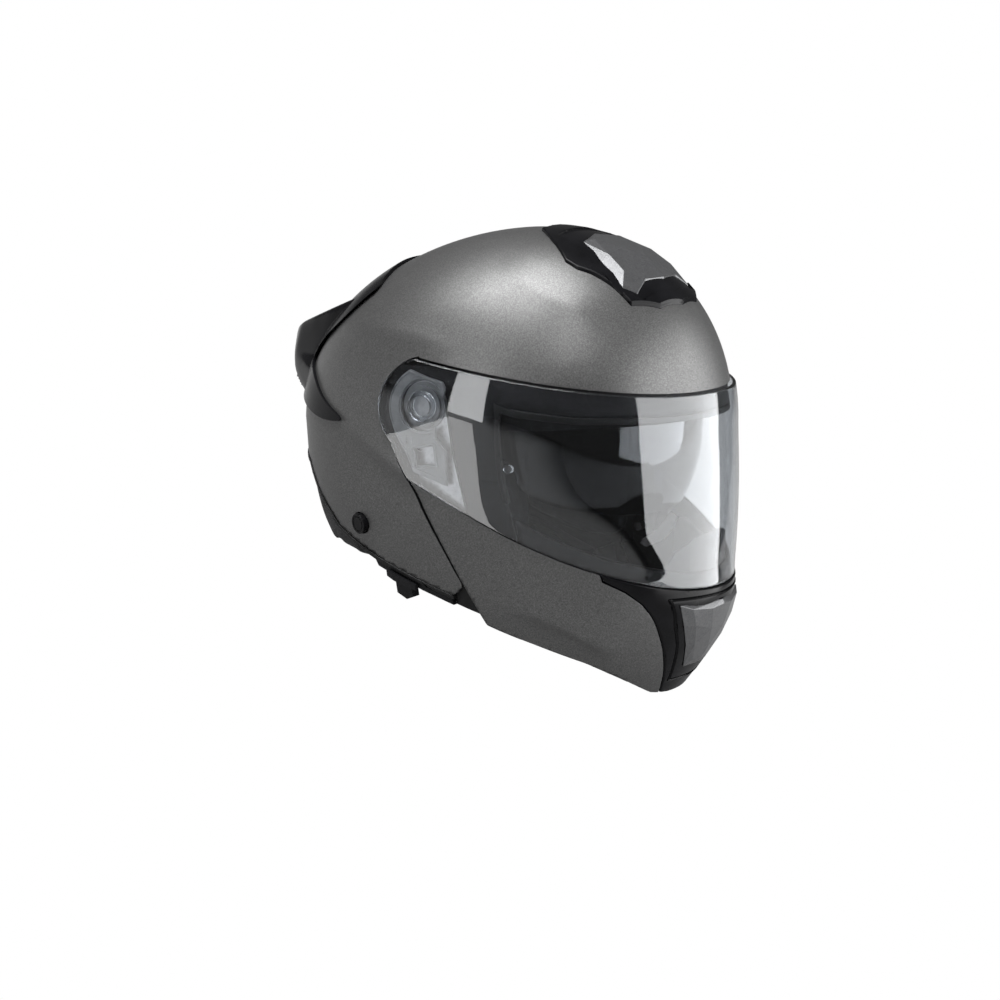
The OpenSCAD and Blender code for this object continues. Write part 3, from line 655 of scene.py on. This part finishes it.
def build_shell():
    outer = layer(0, SHELL_WALL, **LINED)
    cut(outer, side(visor_outline(GAP)), side(FRONT_CUT), side(SHELL_FOOT + [(-25, -210), (160, -210)]))
    recess = cut(flat_sided(RECESS, HINGE_FACE), flat_sided(RECESS + 3, HINGE_FACE - 3))
    meet(recess, side(brow_line(-49, -170, 6) + EYE_LINE[::-1]))
    deep = join(flat_sided(FLANGE_DEPTH, HINGE_FACE),
                cut(flat_sided(RECESS + 0.4, HINGE_FACE),
                    side([(-170, -46), (5, -46), (40, -60), (40, -210), (-170, -210)])))
    flange = cut(meet(deep, side(FLANGE)), flat_sided(FLANGE_DEPTH + 3, HINGE_FACE - 3))
    pod = cut(axle(0, 0, POD_RADIUS + GAP, -140, 140, 96), flat_sided(0, HINGE_FACE))
    rim = cut(skin(1), flat_sided(FLANGE_DEPTH + 2, HINGE_FACE - 3), pod)
    meet(rim, side(RIM))
    join(outer, recess, flange, rim)
    for hole in (disc_at(ANCHOR, 7.3, -10, 10), flipped(disc_at(ANCHOR, 7.3, -10, 10))):
        cut(outer, hole)
    piece(outer, "painted_shell", "helmet", ["outer_shell"], "shell_paint", bevel=0.35,
          inside_slot="matte_black")


CHIN_LIP = [
    (-64, -71), (-74, -77.5), (-91, -86), (-113, -96), (-133, -103), (-152, -111), (-170, -116), (-170, -133),
    (-152, -127.5), (-107, -111.5), (-66, -93)]


def build_chin():
    bar = meet(layer(0, SHELL_WALL, **LINED), side(chin_outline(CHIN_INSET)))
    pocket = cut(front(CHIN_BASE, -170, -100), skin(2.6))
    cut(bar, pocket)
    lip = layer(SHELL_WALL - 0.6, SHELL_WALL + 2.4)
    meet(lip, side(CHIN_LIP))
    join(bar, lip)
    meet(bar, above_table())
    piece(bar, "painted_chin_bar", "chin_bar", ["chin_bar"], "shell_paint", bevel=0.35,
          inside_slot="matte_black")


VISOR_PROUD, VISOR_WALL, VISOR_ROUND = 3.6, 2.1, 0.8
VISOR_STEPS, VISOR_ROWS = 150, 46
# Where the rows of a rim lie across its rounding, and the longest short side in metres of a rim's face
RIM_ROWS = np.array([0, 0.12, 0.35, 0.75, 1.0])
RIM_FACE = 0.00038


def visor_ends(outline, bearing):
    """The lowest and highest heights of the visor at a bearing, or None past its ends."""
    zs = np.linspace(-132, 36, 1400)
    column = skin_points(zs, bearing, -VISOR_PROUD, 0)
    keep = inside(outline, column[:, 1], column[:, 2])
    return (zs[keep][0], zs[keep][-1]) if keep.sum() > 2 else None


def visor_column(p, z0, z1):
    """Outer and inner points of the visor at bearing p from height z0 to z1, with the rims rounded."""
    rim = RIM_ROWS * min(VISOR_ROUND, (z1 - z0) * 0.2)
    middle = np.linspace(z0 + rim[-1], z1 - rim[-1], VISOR_ROWS)[1:-1]
    z = np.concatenate([z0 + rim, middle, (z1 - rim)[::-1]])
    near = np.minimum(z - z0, z1 - z)
    sunk = VISOR_ROUND * (1 - np.sqrt(1 - (1 - np.clip(near / VISOR_ROUND, 0, 1)) ** 2)) * 0.9
    out = skin_points(z, p, -VISOR_PROUD, 0)
    core = skin_points(z, p, VISOR_WALL - VISOR_PROUD, VISOR_WALL)
    away = (core - out) / np.linalg.norm(core - out, axis=1)[:, None]
    return out + away * sunk[:, None], core


def build_visor():
    """The clear visor: a lofted sheet between its lower and upper edges, with rounded rims."""
    outline = visor_outline(0)
    low, high = 90.0, 115.0
    for _ in range(30):
        mid = (low + high) / 2
        low, high = (mid, high) if visor_ends(outline, mid) else (low, mid)
    last = low - 0.02
    outer, inner = [], []
    for p in last * np.sin(np.linspace(-math.pi / 2, math.pi / 2, VISOR_STEPS)):
        z0, z1 = visor_ends(outline, p) or visor_ends(outline, math.copysign(last - 0.01, p))
        out, core = visor_column(p, z0, z1)
        outer.append(out)
        inner.append(core)
    r = len(outer[0])
    points = list(np.concatenate(outer)) + list(np.concatenate(inner))
    half = len(outer) * r
    faces = []
    for i in range(VISOR_STEPS - 1):
        for j in range(r - 1):
            a, b, c, d = i * r + j, (i + 1) * r + j, (i + 1) * r + j + 1, i * r + j + 1
            faces += [(a, b, c, d), (half + a, half + d, half + c, half + b)]
        a, b = i * r, (i + 1) * r
        faces += [(a, half + a, half + b, b), (a + r - 1, b + r - 1, half + b + r - 1, half + a + r - 1)]
    for j in range(r - 1):
        faces += [(j, j + 1, half + j + 1, half + j)]
        k = (VISOR_STEPS - 1) * r + j
        faces += [(k, half + k, half + k + 1, k + 1)]
    shield = piece(solid(points, faces), "clear_visor_shield", "visor", ["visor"], "clear_visor", bevel=0,
                   angle=40)
    mesh = shield.data
    mesh.materials.append(MATS["clear_plastic"])
    for p in mesh.polygons:
        corners = [mesh.vertices[i].co for i in p.vertices]
        shortest = min((a - b).length for a, b in zip(corners, corners[1:] + corners[:1]))
        p.material_index = 1 if shortest < RIM_FACE else 0
    lit = bpy.data.collections.new("card_receivers")
    lit.objects.link(shield)
    bpy.data.objects["side_card"].light_linking.receiver_collection = lit


# The sun visor's outline from its axis, and the barrel that it is cut from
SUN_OUTLINE = [
    (8, 8), (8, -9), (-34, -12), (-36, -40), (-92, -54), (-130, -60), (-130, 90), (-84, 92), (-66, 84),
    (-52, 50), (-30, 12)]
SUN_HALF, SUN_RADIUS, SUN_POWER, SUN_WALL = 96, 112, 2.3, 2


def sun_solid(out, sides=160, steps=60):
    """A barrel about the sun visor's axis, grown by out."""
    half, radius = SUN_HALF + out, SUN_RADIUS + out
    xs = half * np.sin(np.linspace(-math.pi / 2, math.pi / 2, steps))[1:-1]
    rs = radius * (1 - np.abs(xs / half) ** SUN_POWER) ** (1 / SUN_POWER)
    angles = np.linspace(0, 2 * math.pi, sides, endpoint=False)
    back, up = SUN_AXIS
    points = [(x, back + r * math.cos(a), up + r * math.sin(a)) for x, r in zip(xs, rs) for a in angles]
    points += [(-half, *SUN_AXIS), (half, *SUN_AXIS)]
    n, m = sides, len(xs)
    faces = between_rings(n, m)
    faces += [(j, (j + 1) % n, m * n) for j in range(n)]
    faces += [((m - 1) * n + (j + 1) % n, (m - 1) * n + j, m * n + 1) for j in range(n)]
    return solid(points, faces)


def build_sun_visor():
    o = cut(sun_solid(0), sun_solid(-SUN_WALL))
    meet(o, side(moved(rounded(SUN_OUTLINE, closed=True), *SUN_AXIS)))
    cut(o, axle(*SUN_AXIS, 6.9, -100, 100))
    piece(o, "smoked_sun_visor", "sun_visor", ["sun_visor"], "smoke_visor", bevel=0.3)


# The spoiler's crest, the hollow behind it and its lower wing, on the right, from the side to the middle
RIDGE = [
    (-66, 60, 73), (-64, 85, 62.5), (-58, 110, 53.5), (-50, 130, 46.5), (-42, 146, 41), (-25, 160, 37),
    (0, 169, 35)]
VALLEY = [(-60, 121, 19), (-44, 150, 20), (-30, 160, 20), (0, 170, 20)]
WING = [
    (-84, 105, 11), (-101, 87, -2.5), (-112, 62, -12), (-112, 63, -15), (-100, 90, -14), (-84, 108, -9),
    (-70, 127, -2), (-52, 145, 6), (-35, 157, 14), (0, 168, 17)]
SPOILER_SIDE = [
    (60, 74), (74, 62), (90, 48), (113, 31), (121, 19), (105, 11), (87, -2.5), (62, -14), (75, -15.5),
    (90, -15), (108, -11), (127, -5), (150, 0), (150, 120), (84, 104)]


def hull_of_both(points):
    return hull([(s * x, y, z) for x, y, z in points for s in ((1, -1) if x else (1,))])


def build_spoiler():
    body = join(hull_of_both(RIDGE + VALLEY), hull_of_both(VALLEY + WING))
    m = body.modifiers.new("even", "REMESH")
    m.mode, m.voxel_size = "VOXEL", 1.6
    m = body.modifiers.new("flow", "LAPLACIANSMOOTH")
    m.lambda_factor, m.iterations, m.use_volume_preserve = 1.2, 10, True
    body.data = finished_mesh(body)
    body.modifiers.clear()
    join(body, meet(skin(-2.6, **FINE), side(rounded(SPOILER_SIDE, closed=True))))
    cut(body, skin(-0.4, **FINE))
    piece(body, "rear_spoiler_deck", "helmet", ["rear_spoiler"], "gloss_black", bevel=0, angle=50)


def surface_point(x, a, depth, upward):
    """Point of the skin at x and y = a on the crown if upward, or else at x and z = a on the chin."""
    if not upward:
        ring = skin_points(np.full(361, float(a)), np.linspace(0, 90, 361), depth)
        return (x, np.interp(abs(x), -ring[:, 0], ring[:, 1]), a)
    lo, hi = 0.0, 1.0
    top = CROWN_HEIGHT - depth
    count = np.arange(181.0)
    for _ in range(40):
        t = (lo + hi) / 2
        ring = skin_points(np.full(181, WAIST + t * (top - WAIST - 0.01)), np.linspace(0, 90, 181), depth)
        k = np.interp(abs(x), -ring[:, 0], count) if abs(x) <= -ring[-1, 0] else 180
        within = np.interp(k, count, ring[:, 1]) < a and abs(x) < -ring[-1, 0]
        lo, hi = (t, hi) if within else (lo, t)
    return (x, a, WAIST + lo * (top - WAIST))


TOP_UNDER, CHIN_UNDER = 0.6, -1.1


def spot(x, a):
    return round(x, 3), round(a, 3)


def facets(half, upward):
    """A faceted cap closed down to a base. The corners of its right half are (x, a, depth, on the rim),
    with the rim's corners first and in order."""
    left = [(-x, a, d, r) for x, a, d, r in half if x != 0]
    corners = half + left
    rim = [i for i, c in enumerate(half) if c[3]] + [len(half) + i for i, c in enumerate(left) if c[3]][::-1]
    outline = list(zip(rim, rim[1:] + rim[:1]))
    verts, _, tris, *_ = delaunay_2d_cdt([Vector(c[:2]) for c in corners], outline, [], 1, 1e-4)
    depth = {spot(x, a): d for x, a, d, _ in corners}
    under = TOP_UNDER if upward else CHIN_UNDER
    top = [surface_point(v.x, v.y, depth[spot(*v)], upward) for v in verts]
    low = [surface_point(v.x, v.y, under, upward) for v in verts]
    n = len(verts)
    faces = [tuple(t) for t in tris] + [tuple(n + i for i in t[::-1]) for t in tris]
    index = {spot(*v): i for i, v in enumerate(verts)}
    ring = [index[spot(*corners[i][:2])] for i in rim]
    faces += [(a, b, n + b, n + a) for a, b in zip(ring, ring[1:] + ring[:1])]
    return solid(top + low, faces)


TOP_SLIDE = [
    (0, -63, -0.9, 1), (-25, -68, -0.9, 1), (-37, -88, -0.9, 1), (-43, -107, -0.9, 1), (-37, -114.5, -1.1, 1),
    (-22, -112.5, -1.6, 1), (0, -115, -1.5, 1),
    (0, -69, -1.9, 0), (-18, -72, -2.6, 0), (-30, -90, -3.4, 0), (-34, -103, -3.0, 0), (-24, -99, -1.8, 0),
    (-13, -90, -3.5, 0), (-12, -106, -2.0, 0), (0, -102, -3.8, 0)]
CHIN_SLIDE = [
    (0, -131, -1.7, 1), (-42, -129.5, -1.5, 1), (-35.5, -144, -1.5, 1), (-26.5, -159, -1.5, 1),
    (-16, -176, -1.5, 1), (0, -176, -1.7, 1),
    (0, -134, -3.2, 0), (-33, -133, -2.5, 0), (-27, -145, -3.1, 0), (-20, -159, -2.9, 0),
    (-11, -172, -2.5, 0), (0, -172, -3.0, 0), (-14, -135, -2.9, 0), (-9, -150, -4.0, 0), (0, -165, -3.5, 0)]
TOP_WELL = [(0, -50), (27, -50), (44, -86), (49, -107), (37, -119.5), (0, -124)]
CHIN_FRAME = [
    (0, -100), (60, -100), (82.5, -106), (81, -110.6), (71.5, -118), (62.4, -127.2), (54.4, -138.9),
    (46.4, -151.9), (33.4, -171.9), (17, -197.5), (0, -197.5)]
GROOVE_OUTER = [
    (0, -126.6), (49, -125), (46, -131), (41.5, -144), (33.5, -158), (27, -172), (21, -186), (0, -186)]
GROOVE_INNER = [
    (0, -127.5), (47.6, -125.9), (44.9, -131), (40.4, -144), (32.3, -158), (25.8, -172), (20, -185), (0, -185)]


def build_top_vent():
    base = meet(cut(skin(-2.1), skin(0.2)), above(TOP_BASE, 40, 130))
    cut(base, cut(above(TOP_WELL, 40, 130), skin(-0.6)))
    piece(base, "top_vent_frame", "helmet", ["top_vent_base"], "gloss_black", bevel=0.9, segments=4)
    piece(facets(TOP_SLIDE, True), "top_vent_slide", "top_vent_slider", ["top_vent_slider"], "vent_grey",
          bevel=0.25, angle=6, smooth=False)


def build_chin_vent():
    base = meet(cut(skin(-0.6), skin(2.1)), front(CHIN_FRAME, -170, -100))
    cut(base, cut(front(GROOVE_OUTER, -190, -100), front(GROOVE_INNER, -195, -95), skin(-0.1)))
    meet(base, side(chin_outline(CHIN_INSET)), above_table())
    piece(base, "chin_vent_frame", "chin_bar", ["chin_vent_base"], "gloss_black", bevel=0.9, segments=3)
    piece(facets(CHIN_SLIDE, False), "chin_vent_slide", "chin_vent_slider", ["chin_vent_slider"], "vent_grey",
          bevel=0.25, angle=6, smooth=False)


# The seal of the eye port in the side view
SEAL_BAND = [
    (-49.2, 4.8), (-62.2, 0.8), (-100, -4.2), (-165, -6.2), (-165, -10.2), (-100, -8.2), (-64, -4), (-54, -2),
    (-53, -12), (-54, -28), (-57, -48), (-60, -60), (-56.4, -60), (-53.2, -48), (-50.2, -28)]
SKIRT_TIP = [(-24, -112), (-44, -141), (-24, -134)]


def build_trims():
    lower = moved(SHELL_FOOT[:8], 0, -0.1) + moved(SHELL_FOOT[:8], 0, -3.4)[::-1]
    trim = meet(layer(-0.8, 5.8), side(lower))
    skirt = moved(SHELL_FOOT[1:7], 0, 6) + SKIRT_TIP + moved(SHELL_FOOT[1:7], 0, -7.5)[::-1]
    join(trim, meet(layer(5.2, 7.4), side(skirt)))
    piece(trim, "lower_edge_trim", "helmet", ["edge_trim"], "trim_rubber", bevel=0.9, segments=3)
    gasket = meet(flat_sided(1.7, HINGE_FACE - 0.2), side(SEAL_BAND))
    cut(gasket, skin(7), block((-104, -60, -80), (104, -40, 30)))
    piece(gasket, "eye_port_seal", "helmet", ["eyeport_gasket"], "trim_rubber", bevel=0.7, segments=3)


def build_caps():
    for tag in ("right", "left"):
        groove = cut(disc_at(ANCHOR, 5.5, 2.0, 3.2), disc_at(ANCHOR, 4.5, 1.5, 3.6))
        cap = cut(disc_at(ANCHOR, 6.9, -3, 2.6), groove, disc_at(ANCHOR, 4, -4, 1.9))
        piece(handed(cap, tag), f"strap_anchor_cap_{tag}", "helmet", ["anchor_caps"], "gloss_black",
              bevel=0.35, segments=3)


# A hinge cover in the side view, its window, and the radius of the hole for the pivot's collar
PLATE = (pod_arc(25.5, 62, -22, 24)
         + [(20, -18.5), (10, -34), (6, -43.5), (-18.5, -51), (-18.5, -28), (-11, -20),
            (-10.5, -11), (-16, -3), (-16, 12), (-13.5, 16), (0, 19)])
COLLAR = 16.3
WINDOW = [(5.5, -28), (-8.5, -25.5), (-10, -37.5), (3, -39)]


def grown(outline, factor):
    y0, z0 = (sum(c) / len(outline) for c in zip(*outline))
    return [(y0 + (y - y0) * factor, z0 + (z - z0) * factor) for y, z in outline]


def raised_lines():
    """Thin ridges on a hinge cover: its rim, the pivot's collar, the window's frame, a boss and two ribs."""
    low, high = -130, -HINGE_FACE - 0.3
    lines = cut(side(grown(PLATE, 0.985), low, high), side(grown(PLATE, 0.92), low - 1, high + 1))
    for outer, inner in ((axle(0, 0, 18.6, low, high), axle(0, 0, 17.3, low - 1, high + 1)),
                         (side(grown(WINDOW, 1.34), low, high), side(grown(WINDOW, 1.16), low - 1, high + 1)),
                         (axle(-14.2, -21.5, 2.4, low, high), axle(-14.2, -21.5, 1.3, low - 1, high + 1))):
        join(lines, cut(outer, inner))
    for y in (6.5, 10.5):
        join(lines, side([(y, -25), (y + 1.3, -25), (y + 1.3, -20.4), (y, -20.4)], low, high))
    return meet(lines, side(PLATE, low, high), cut(skin(2.9), skin(3.8)), axle_free())


def axle_free():
    """All the space outside the pivot's bore."""
    return cut(block((-131, -80, -80), (-100, 80, 60)), axle(0, 0, COLLAR, -135, -95))


def build_hinges():
    for tag in ("right", "left"):
        plate = meet(cut(skin(3.6), skin(5.1)), side(PLATE, -130, -HINGE_FACE - 0.3))
        cut(plate, axle(0, 0, COLLAR, -130, -100), side(WINDOW, -130, -100))
        join(plate, raised_lines())
        piece(handed(plate, tag), f"hinge_cover_{tag}", "chin_bar", [f"pivot_plate_{tag}"], "hinge_grey",
              bevel=0.22)
        ring = cut(axle(0, 0, 10, -119.6, -115.3, 96), axle(0, 0, 7, -125, -110, 72))
        piece(handed(ring, tag), f"visor_ring_{tag}", "visor", [f"visor_boss_{tag}"], "clear_plastic",
              bevel=0.5, segments=3)


# ---- soft pieces ----
SWELL_FRAMES = 12
UNSWOLLEN = 0.5
TABLE_GAP = 0.15


def remeshed(node, name, voxel):
    """A copy of a CAD node in worn millimetres, made of even faces."""
    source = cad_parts[node]
    mesh = source.data.copy()
    mesh.transform(TO_WORN @ source.matrix_world)
    o = placed(name, mesh)
    m = o.modifiers.new("remesh", "REMESH")
    m.mode, m.voxel_size = "VOXEL", voxel
    m = o.modifiers.new("smooth", "SMOOTH")
    m.factor, m.iterations = 0.5, 6
    o.data = finished_mesh(o)
    o.modifiers.clear()
    return o


def swelled(o, start, pressure):
    """Where a cloth simulation with pressure inside moves a mesh from its start, in worn millimetres."""
    o.data.vertices.foreach_set("co", (start * 0.001).ravel())
    cloth = o.modifiers.new("cloth", "CLOTH").settings
    cloth.use_pressure = True
    cloth.uniform_pressure_force = pressure
    cloth.effector_weights.gravity = 0
    cloth.quality = 5
    scene = bpy.context.scene
    for f in range(1, SWELL_FRAMES + 1):
        scene.frame_set(f)
    points = np.array([v.co for v in finished_mesh(o).vertices]) * 1000
    o.modifiers.clear()
    scene.frame_set(1)
    return points


def ripples(p):
    """A slow unevenness of cloth over a pad, from -1 to 1."""
    x, y, z = p.T
    return np.sin(x * 0.19 + z * 0.07) * np.sin(y * 0.16 + 1.3) * np.sin(z * 0.21 + 0.4)


def padding(node, name, body, slot, voxel=4.5, pressure=4.0, cap=3.0, shrink=1.2, crease=0.5,
            floor=False):
    """A stuffed piece in the space of a CAD node: remeshed, shrunk, and swollen again by at most cap."""
    o = remeshed(node, name, voxel)
    normals = np.array([v.normal for v in o.data.vertices])
    start = np.array([v.co for v in o.data.vertices]) - normals * shrink
    if pressure:
        swollen = swelled(o, start, pressure)
    else:
        swollen = start + normals * (shrink + UNSWOLLEN)
    move = swollen - start
    length = np.linalg.norm(move, axis=1)
    move *= (np.minimum(length, cap) / np.maximum(length, 1e-6))[:, None]
    final = start + move
    final = final + normals * (ripples(final) * crease)[:, None]
    if floor:
        upright = np.array(STAND)[2]
        level = final @ upright[:3] + upright[3]
        final = final + np.outer(np.maximum(TABLE_GAP - level, 0), upright[:3])
    mesh = o.data
    mesh.vertices.foreach_set("co", final.ravel())
    mesh.transform(TO_FRAME)
    mesh.materials.clear()
    mesh.materials.append(MATS[slot])
    for p in mesh.polygons:
        p.use_smooth = True
    finer = o.modifiers.new("finer", "SUBSURF")
    finer.levels = finer.render_levels = 1
    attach(o, body)
    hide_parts(node)


def build_padding():
    padding("crown_pad", "crown_comfort_pad", "helmet", "lining_fabric")
    for tag in ("right", "left"):
        padding(f"cheek_pad_{tag}", f"cheek_cushion_{tag}", "helmet", "lining_fabric")
    padding("neck_roll", "neck_roll_cushion", "helmet", "neck_fabric", voxel=3.0, cap=2.0,
            floor=True, crease=0.25)
    padding("chin_bar_liner", "chin_bar_padding", "chin_bar", "lining_fabric", cap=1.5, pressure=0)
    padding("chin_curtain", "chin_curtain_cloth", "chin_bar", "webbing", voxel=1.2, cap=0.4,
            pressure=0, shrink=0.2, crease=0.2)


# ---- chin strap webbing, along the strap's given route from its anchor into the buckle ----
WEB_SIDE = [(-70, 15, -109), (-68, 6, -118), (-60, -7, -129), (-46, -18, -137.5)]
WEB_ENDS = {"right": [(-32, -24, -141.5), (-22.2, -25, -142)], "left": [(-34, -25, -142), (-30.2, -25, -142)]}
WEB_TILT = math.radians(17)
WEB_WIDE, WEB_THICK, WEB_RIB, WEB_RIBS = 21.6, 1.35, 0.22, 8
WEB_STEPS, WEB_COLUMNS, WEB_SQUARE = 8, 64, 24


def strap_route(tag):
    """Points along a strap's centre, on a smooth curve through the chosen ones."""
    sign = 1 if tag == "right" else -1
    p = [Vector((sign * x, y, z)) for x, y, z in WEB_SIDE + WEB_ENDS[tag]]
    p = [2 * p[0] - p[1]] + p + [2 * p[-1] - p[-2]]
    route = []
    for a, b, c, d in zip(p, p[1:], p[2:], p[3:]):
        for t in (i / WEB_STEPS for i in range(WEB_STEPS)):
            bend = (2 * a - 5 * b + 4 * c - d) * t ** 2 + (3 * b - a - 3 * c + d) * t ** 3
            route.append(0.5 * (2 * b + (c - a) * t + bend))
    return route + [p[-2]]


def web_profile():
    """Half the webbing's thickness at each place u across it, from -1 to 1, with its woven ribs."""
    for u in (2 * k / WEB_COLUMNS - 1 for k in range(WEB_COLUMNS + 1)):
        rib = WEB_RIB / 2 * (1 - math.cos(math.pi * WEB_RIBS * (u + 1)))
        yield u, math.sqrt(max(0.0, 1 - abs(u) ** WEB_SQUARE)) * (WEB_THICK / 2 + rib)


def build_straps():
    across = Vector((0, math.cos(WEB_TILT), math.sin(WEB_TILT)))
    profile = list(web_profile())
    n = 2 * WEB_COLUMNS
    for tag in ("right", "left"):
        route = strap_route(tag)
        points = []
        for before, centre, after in zip(route[:1] + route, route, route[1:] + route[-1:]):
            up = (after - before).normalized().cross(across).normalized()
            points += [centre + across * u * WEB_WIDE / 2 + up * h for u, h in profile]
            points += [centre + across * u * WEB_WIDE / 2 - up * h for u, h in profile[-2:0:-1]]
        end = n * (len(route) - 1)
        faces = [list(range(n)), list(range(end, end + n))] + between_rings(n, len(route))
        piece(solid(points, faces), f"strap_webbing_{tag}", "helmet", [f"strap_{tag}"], "webbing", bevel=0)


# ---- CAD nodes that are kept, with finished materials and softened edges ----
KEPT = {
    "foam": ["eps_liner"],
    "matte_black": ["exhaust_grille", "sun_track", "buckle_receiver", "breath_deflector", "sun_bushes",
                    "sun_lever"],
    "trim_rubber": ["sun_cable"],
    "hinge_grey": ["pivot_hub_right", "pivot_hub_left"],
    "steel": ["pivot_pin_right", "pivot_pin_left", "latch_pins", "strap_anchors", "sun_pins", "strap_tongue",
              "buckle_pin", "hinge_arm_right", "hinge_arm_left", "arm_screws", "latch_hook_right",
              "latch_hook_left"],
    "clear_plastic": ["pinlock_pins"],
    "red_plastic": ["release_button", "buckle_lever"],
}
# Widths of softened edges in metres, where they aren't the usual one
SOFT_EDGE = 0.0005
EDGE = {"sun_cable": 0, "pinlock_pins": 0.0003, "arm_screws": 0.0002, "strap_tongue": 0.0002,
        "buckle_pin": 0.0002}


def finish_kept():
    for slot, names in KEPT.items():
        for name in names:
            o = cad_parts[name]
            for s in o.material_slots:
                s.material = MATS[slot]
            if not o.material_slots:
                o.data.materials.append(MATS[slot])
            width = EDGE.get(name, SOFT_EDGE)
            if width:
                m = o.modifiers.new("soft_edges", "BEVEL")
                m.width, m.segments = width, 2
                m.limit_method, m.angle_limit = "ANGLE", math.radians(35)


# ---- floor, light and camera ----
# The room is this bright in reflections, where the camera itself sees white
ROOM, FLOOR_GLOW = 0.075, 1.0
FLOOR_HALF, FLOOR_DEPTH = 6.0, 0.001


def seen_directly(nodes):
    return nodes.new("ShaderNodeLightPath").outputs["Is Camera Ray"]


def build_stage():
    quarters = ((-1, -1), (1, -1), (1, 1), (-1, 1))
    corners = [(x * FLOOR_HALF, y * FLOOR_HALF, -FLOOR_DEPTH) for x, y in quarters]
    mesh = bpy.data.meshes.new("floor")
    mesh.from_pydata(corners, [], [(0, 1, 2, 3)])
    floor = placed("floor", mesh)
    mat = material("floor_white", 0.26, 0.29, 0.9, scale=3, bump=0)
    nodes, links = nodes_of(mat)
    glow = added(nodes, "Emission", Strength=FLOOR_GLOW)
    mix = nodes.new("ShaderNodeMixShader")
    output = next(n for n in nodes if n.type == "OUTPUT_MATERIAL")
    links.new(seen_directly(nodes), mix.inputs[0])
    links.new(nodes["Principled BSDF"].outputs[0], mix.inputs[1])
    links.new(glow.outputs[0], mix.inputs[2])
    links.new(mix.outputs[0], output.inputs["Surface"])
    floor.data.materials.append(mat)
    world = bpy.data.worlds.new("studio")
    bpy.context.scene.world = world
    world.use_nodes = True
    nodes, links = nodes_of(world)
    sky = nodes["Background"]
    level = added(nodes, "MapRange", To_Min=ROOM, To_Max=1.0)
    links.new(seen_directly(nodes), level.inputs["Value"])
    links.new(level.outputs["Result"], sky.inputs["Strength"])
    sky.inputs["Color"].default_value = (1, 1, 1, 1)


# Softboxes in the worn frame: name, direction from the helmet, distance, width, height, power
SOFTBOXES = [
    ("strip_side", (-0.978, 0.205, 0.1), 1.9, 0.48, 2.4, 17),
    ("wide_front", (0.37, -0.93, 0.05), 2.0, 3.0, 1.9, 78),
    ("overhead", (-0.2, 0.1, 1.0), 1.9, 1.4, 1.4, 66),
    ("key_left", (-0.8, -0.6, 0.95), 2.4, 0.8, 0.8, 12),
]
# A lit card lying beside the helmet, which only the clear visor reflects
CARD_NEAR, CARD_FAR, CARD_WIDE, CARD_POWER, CARD_HEIGHT = 0.15, 1.35, 0.24, 4.2, 0.004
CAMERA_AZIMUTH, CAMERA_ELEVATION, CAMERA_DISTANCE = -60, 7, 1800
LENS, SENSOR, SHIFT_X, SHIFT_Y = 94.6, 36, -0.013, -0.113
TO_MILLIMETRES = Matrix.Scale(1000, 4)


def area_light(name, width, height, power):
    light = bpy.data.lights.new(name, "AREA")
    light.shape, light.size, light.size_y, light.energy = "RECTANGLE", width, height, power
    return placed(name, light)


def build_lights():
    for name, direction, distance, width, height, power in SOFTBOXES:
        o = area_light(name, width, height, power)
        aim = Vector(direction).normalized()
        place = Matrix.Translation(aim * distance * 1000) @ aim.to_track_quat("Z", "Y").to_matrix().to_4x4()
        o.matrix_world = TO_FRAME @ place @ TO_MILLIMETRES
    card = area_light("side_card", CARD_FAR - CARD_NEAR, CARD_WIDE, CARD_POWER)
    strip = SOFTBOXES[0][1]
    way = Vector((strip[0], strip[1], 0)).normalized()
    middle = way * (CARD_NEAR + CARD_FAR) / 2 + Vector((0, 0, CARD_HEIGHT))
    turn = Matrix.Rotation(math.atan2(way.y, way.x), 4, "Z") @ Matrix.Rotation(math.pi, 4, "X")
    card.matrix_world = Matrix.Translation(middle) @ turn
    card.visible_camera = card.visible_diffuse = card.visible_transmission = False


def build_camera():
    a, e = math.radians(CAMERA_AZIMUTH), math.radians(CAMERA_ELEVATION)
    back = Vector((math.sin(a) * math.cos(e), -math.cos(a) * math.cos(e), math.sin(e)))
    turn = (-back).to_track_quat("-Z", "Y").to_matrix().to_4x4()
    cam = bpy.data.cameras.new("camera")
    cam.lens, cam.sensor_width, cam.shift_x, cam.shift_y = LENS, SENSOR, SHIFT_X, SHIFT_Y
    cam.clip_start, cam.clip_end = 0.05, 60
    o = placed("camera", cam)
    o.matrix_world = TO_FRAME @ Matrix.Translation(back * CAMERA_DISTANCE) @ turn @ TO_MILLIMETRES
    bpy.context.scene.camera = o


for build in (build_camera, build_lights, build_stage, build_shell, build_chin, build_visor, build_sun_visor,
              build_spoiler, build_top_vent, build_chin_vent, build_trims, build_hinges, build_caps,
              build_padding, build_straps, finish_kept):
    build()
bpy.context.scene.view_settings.view_transform = "Standard"
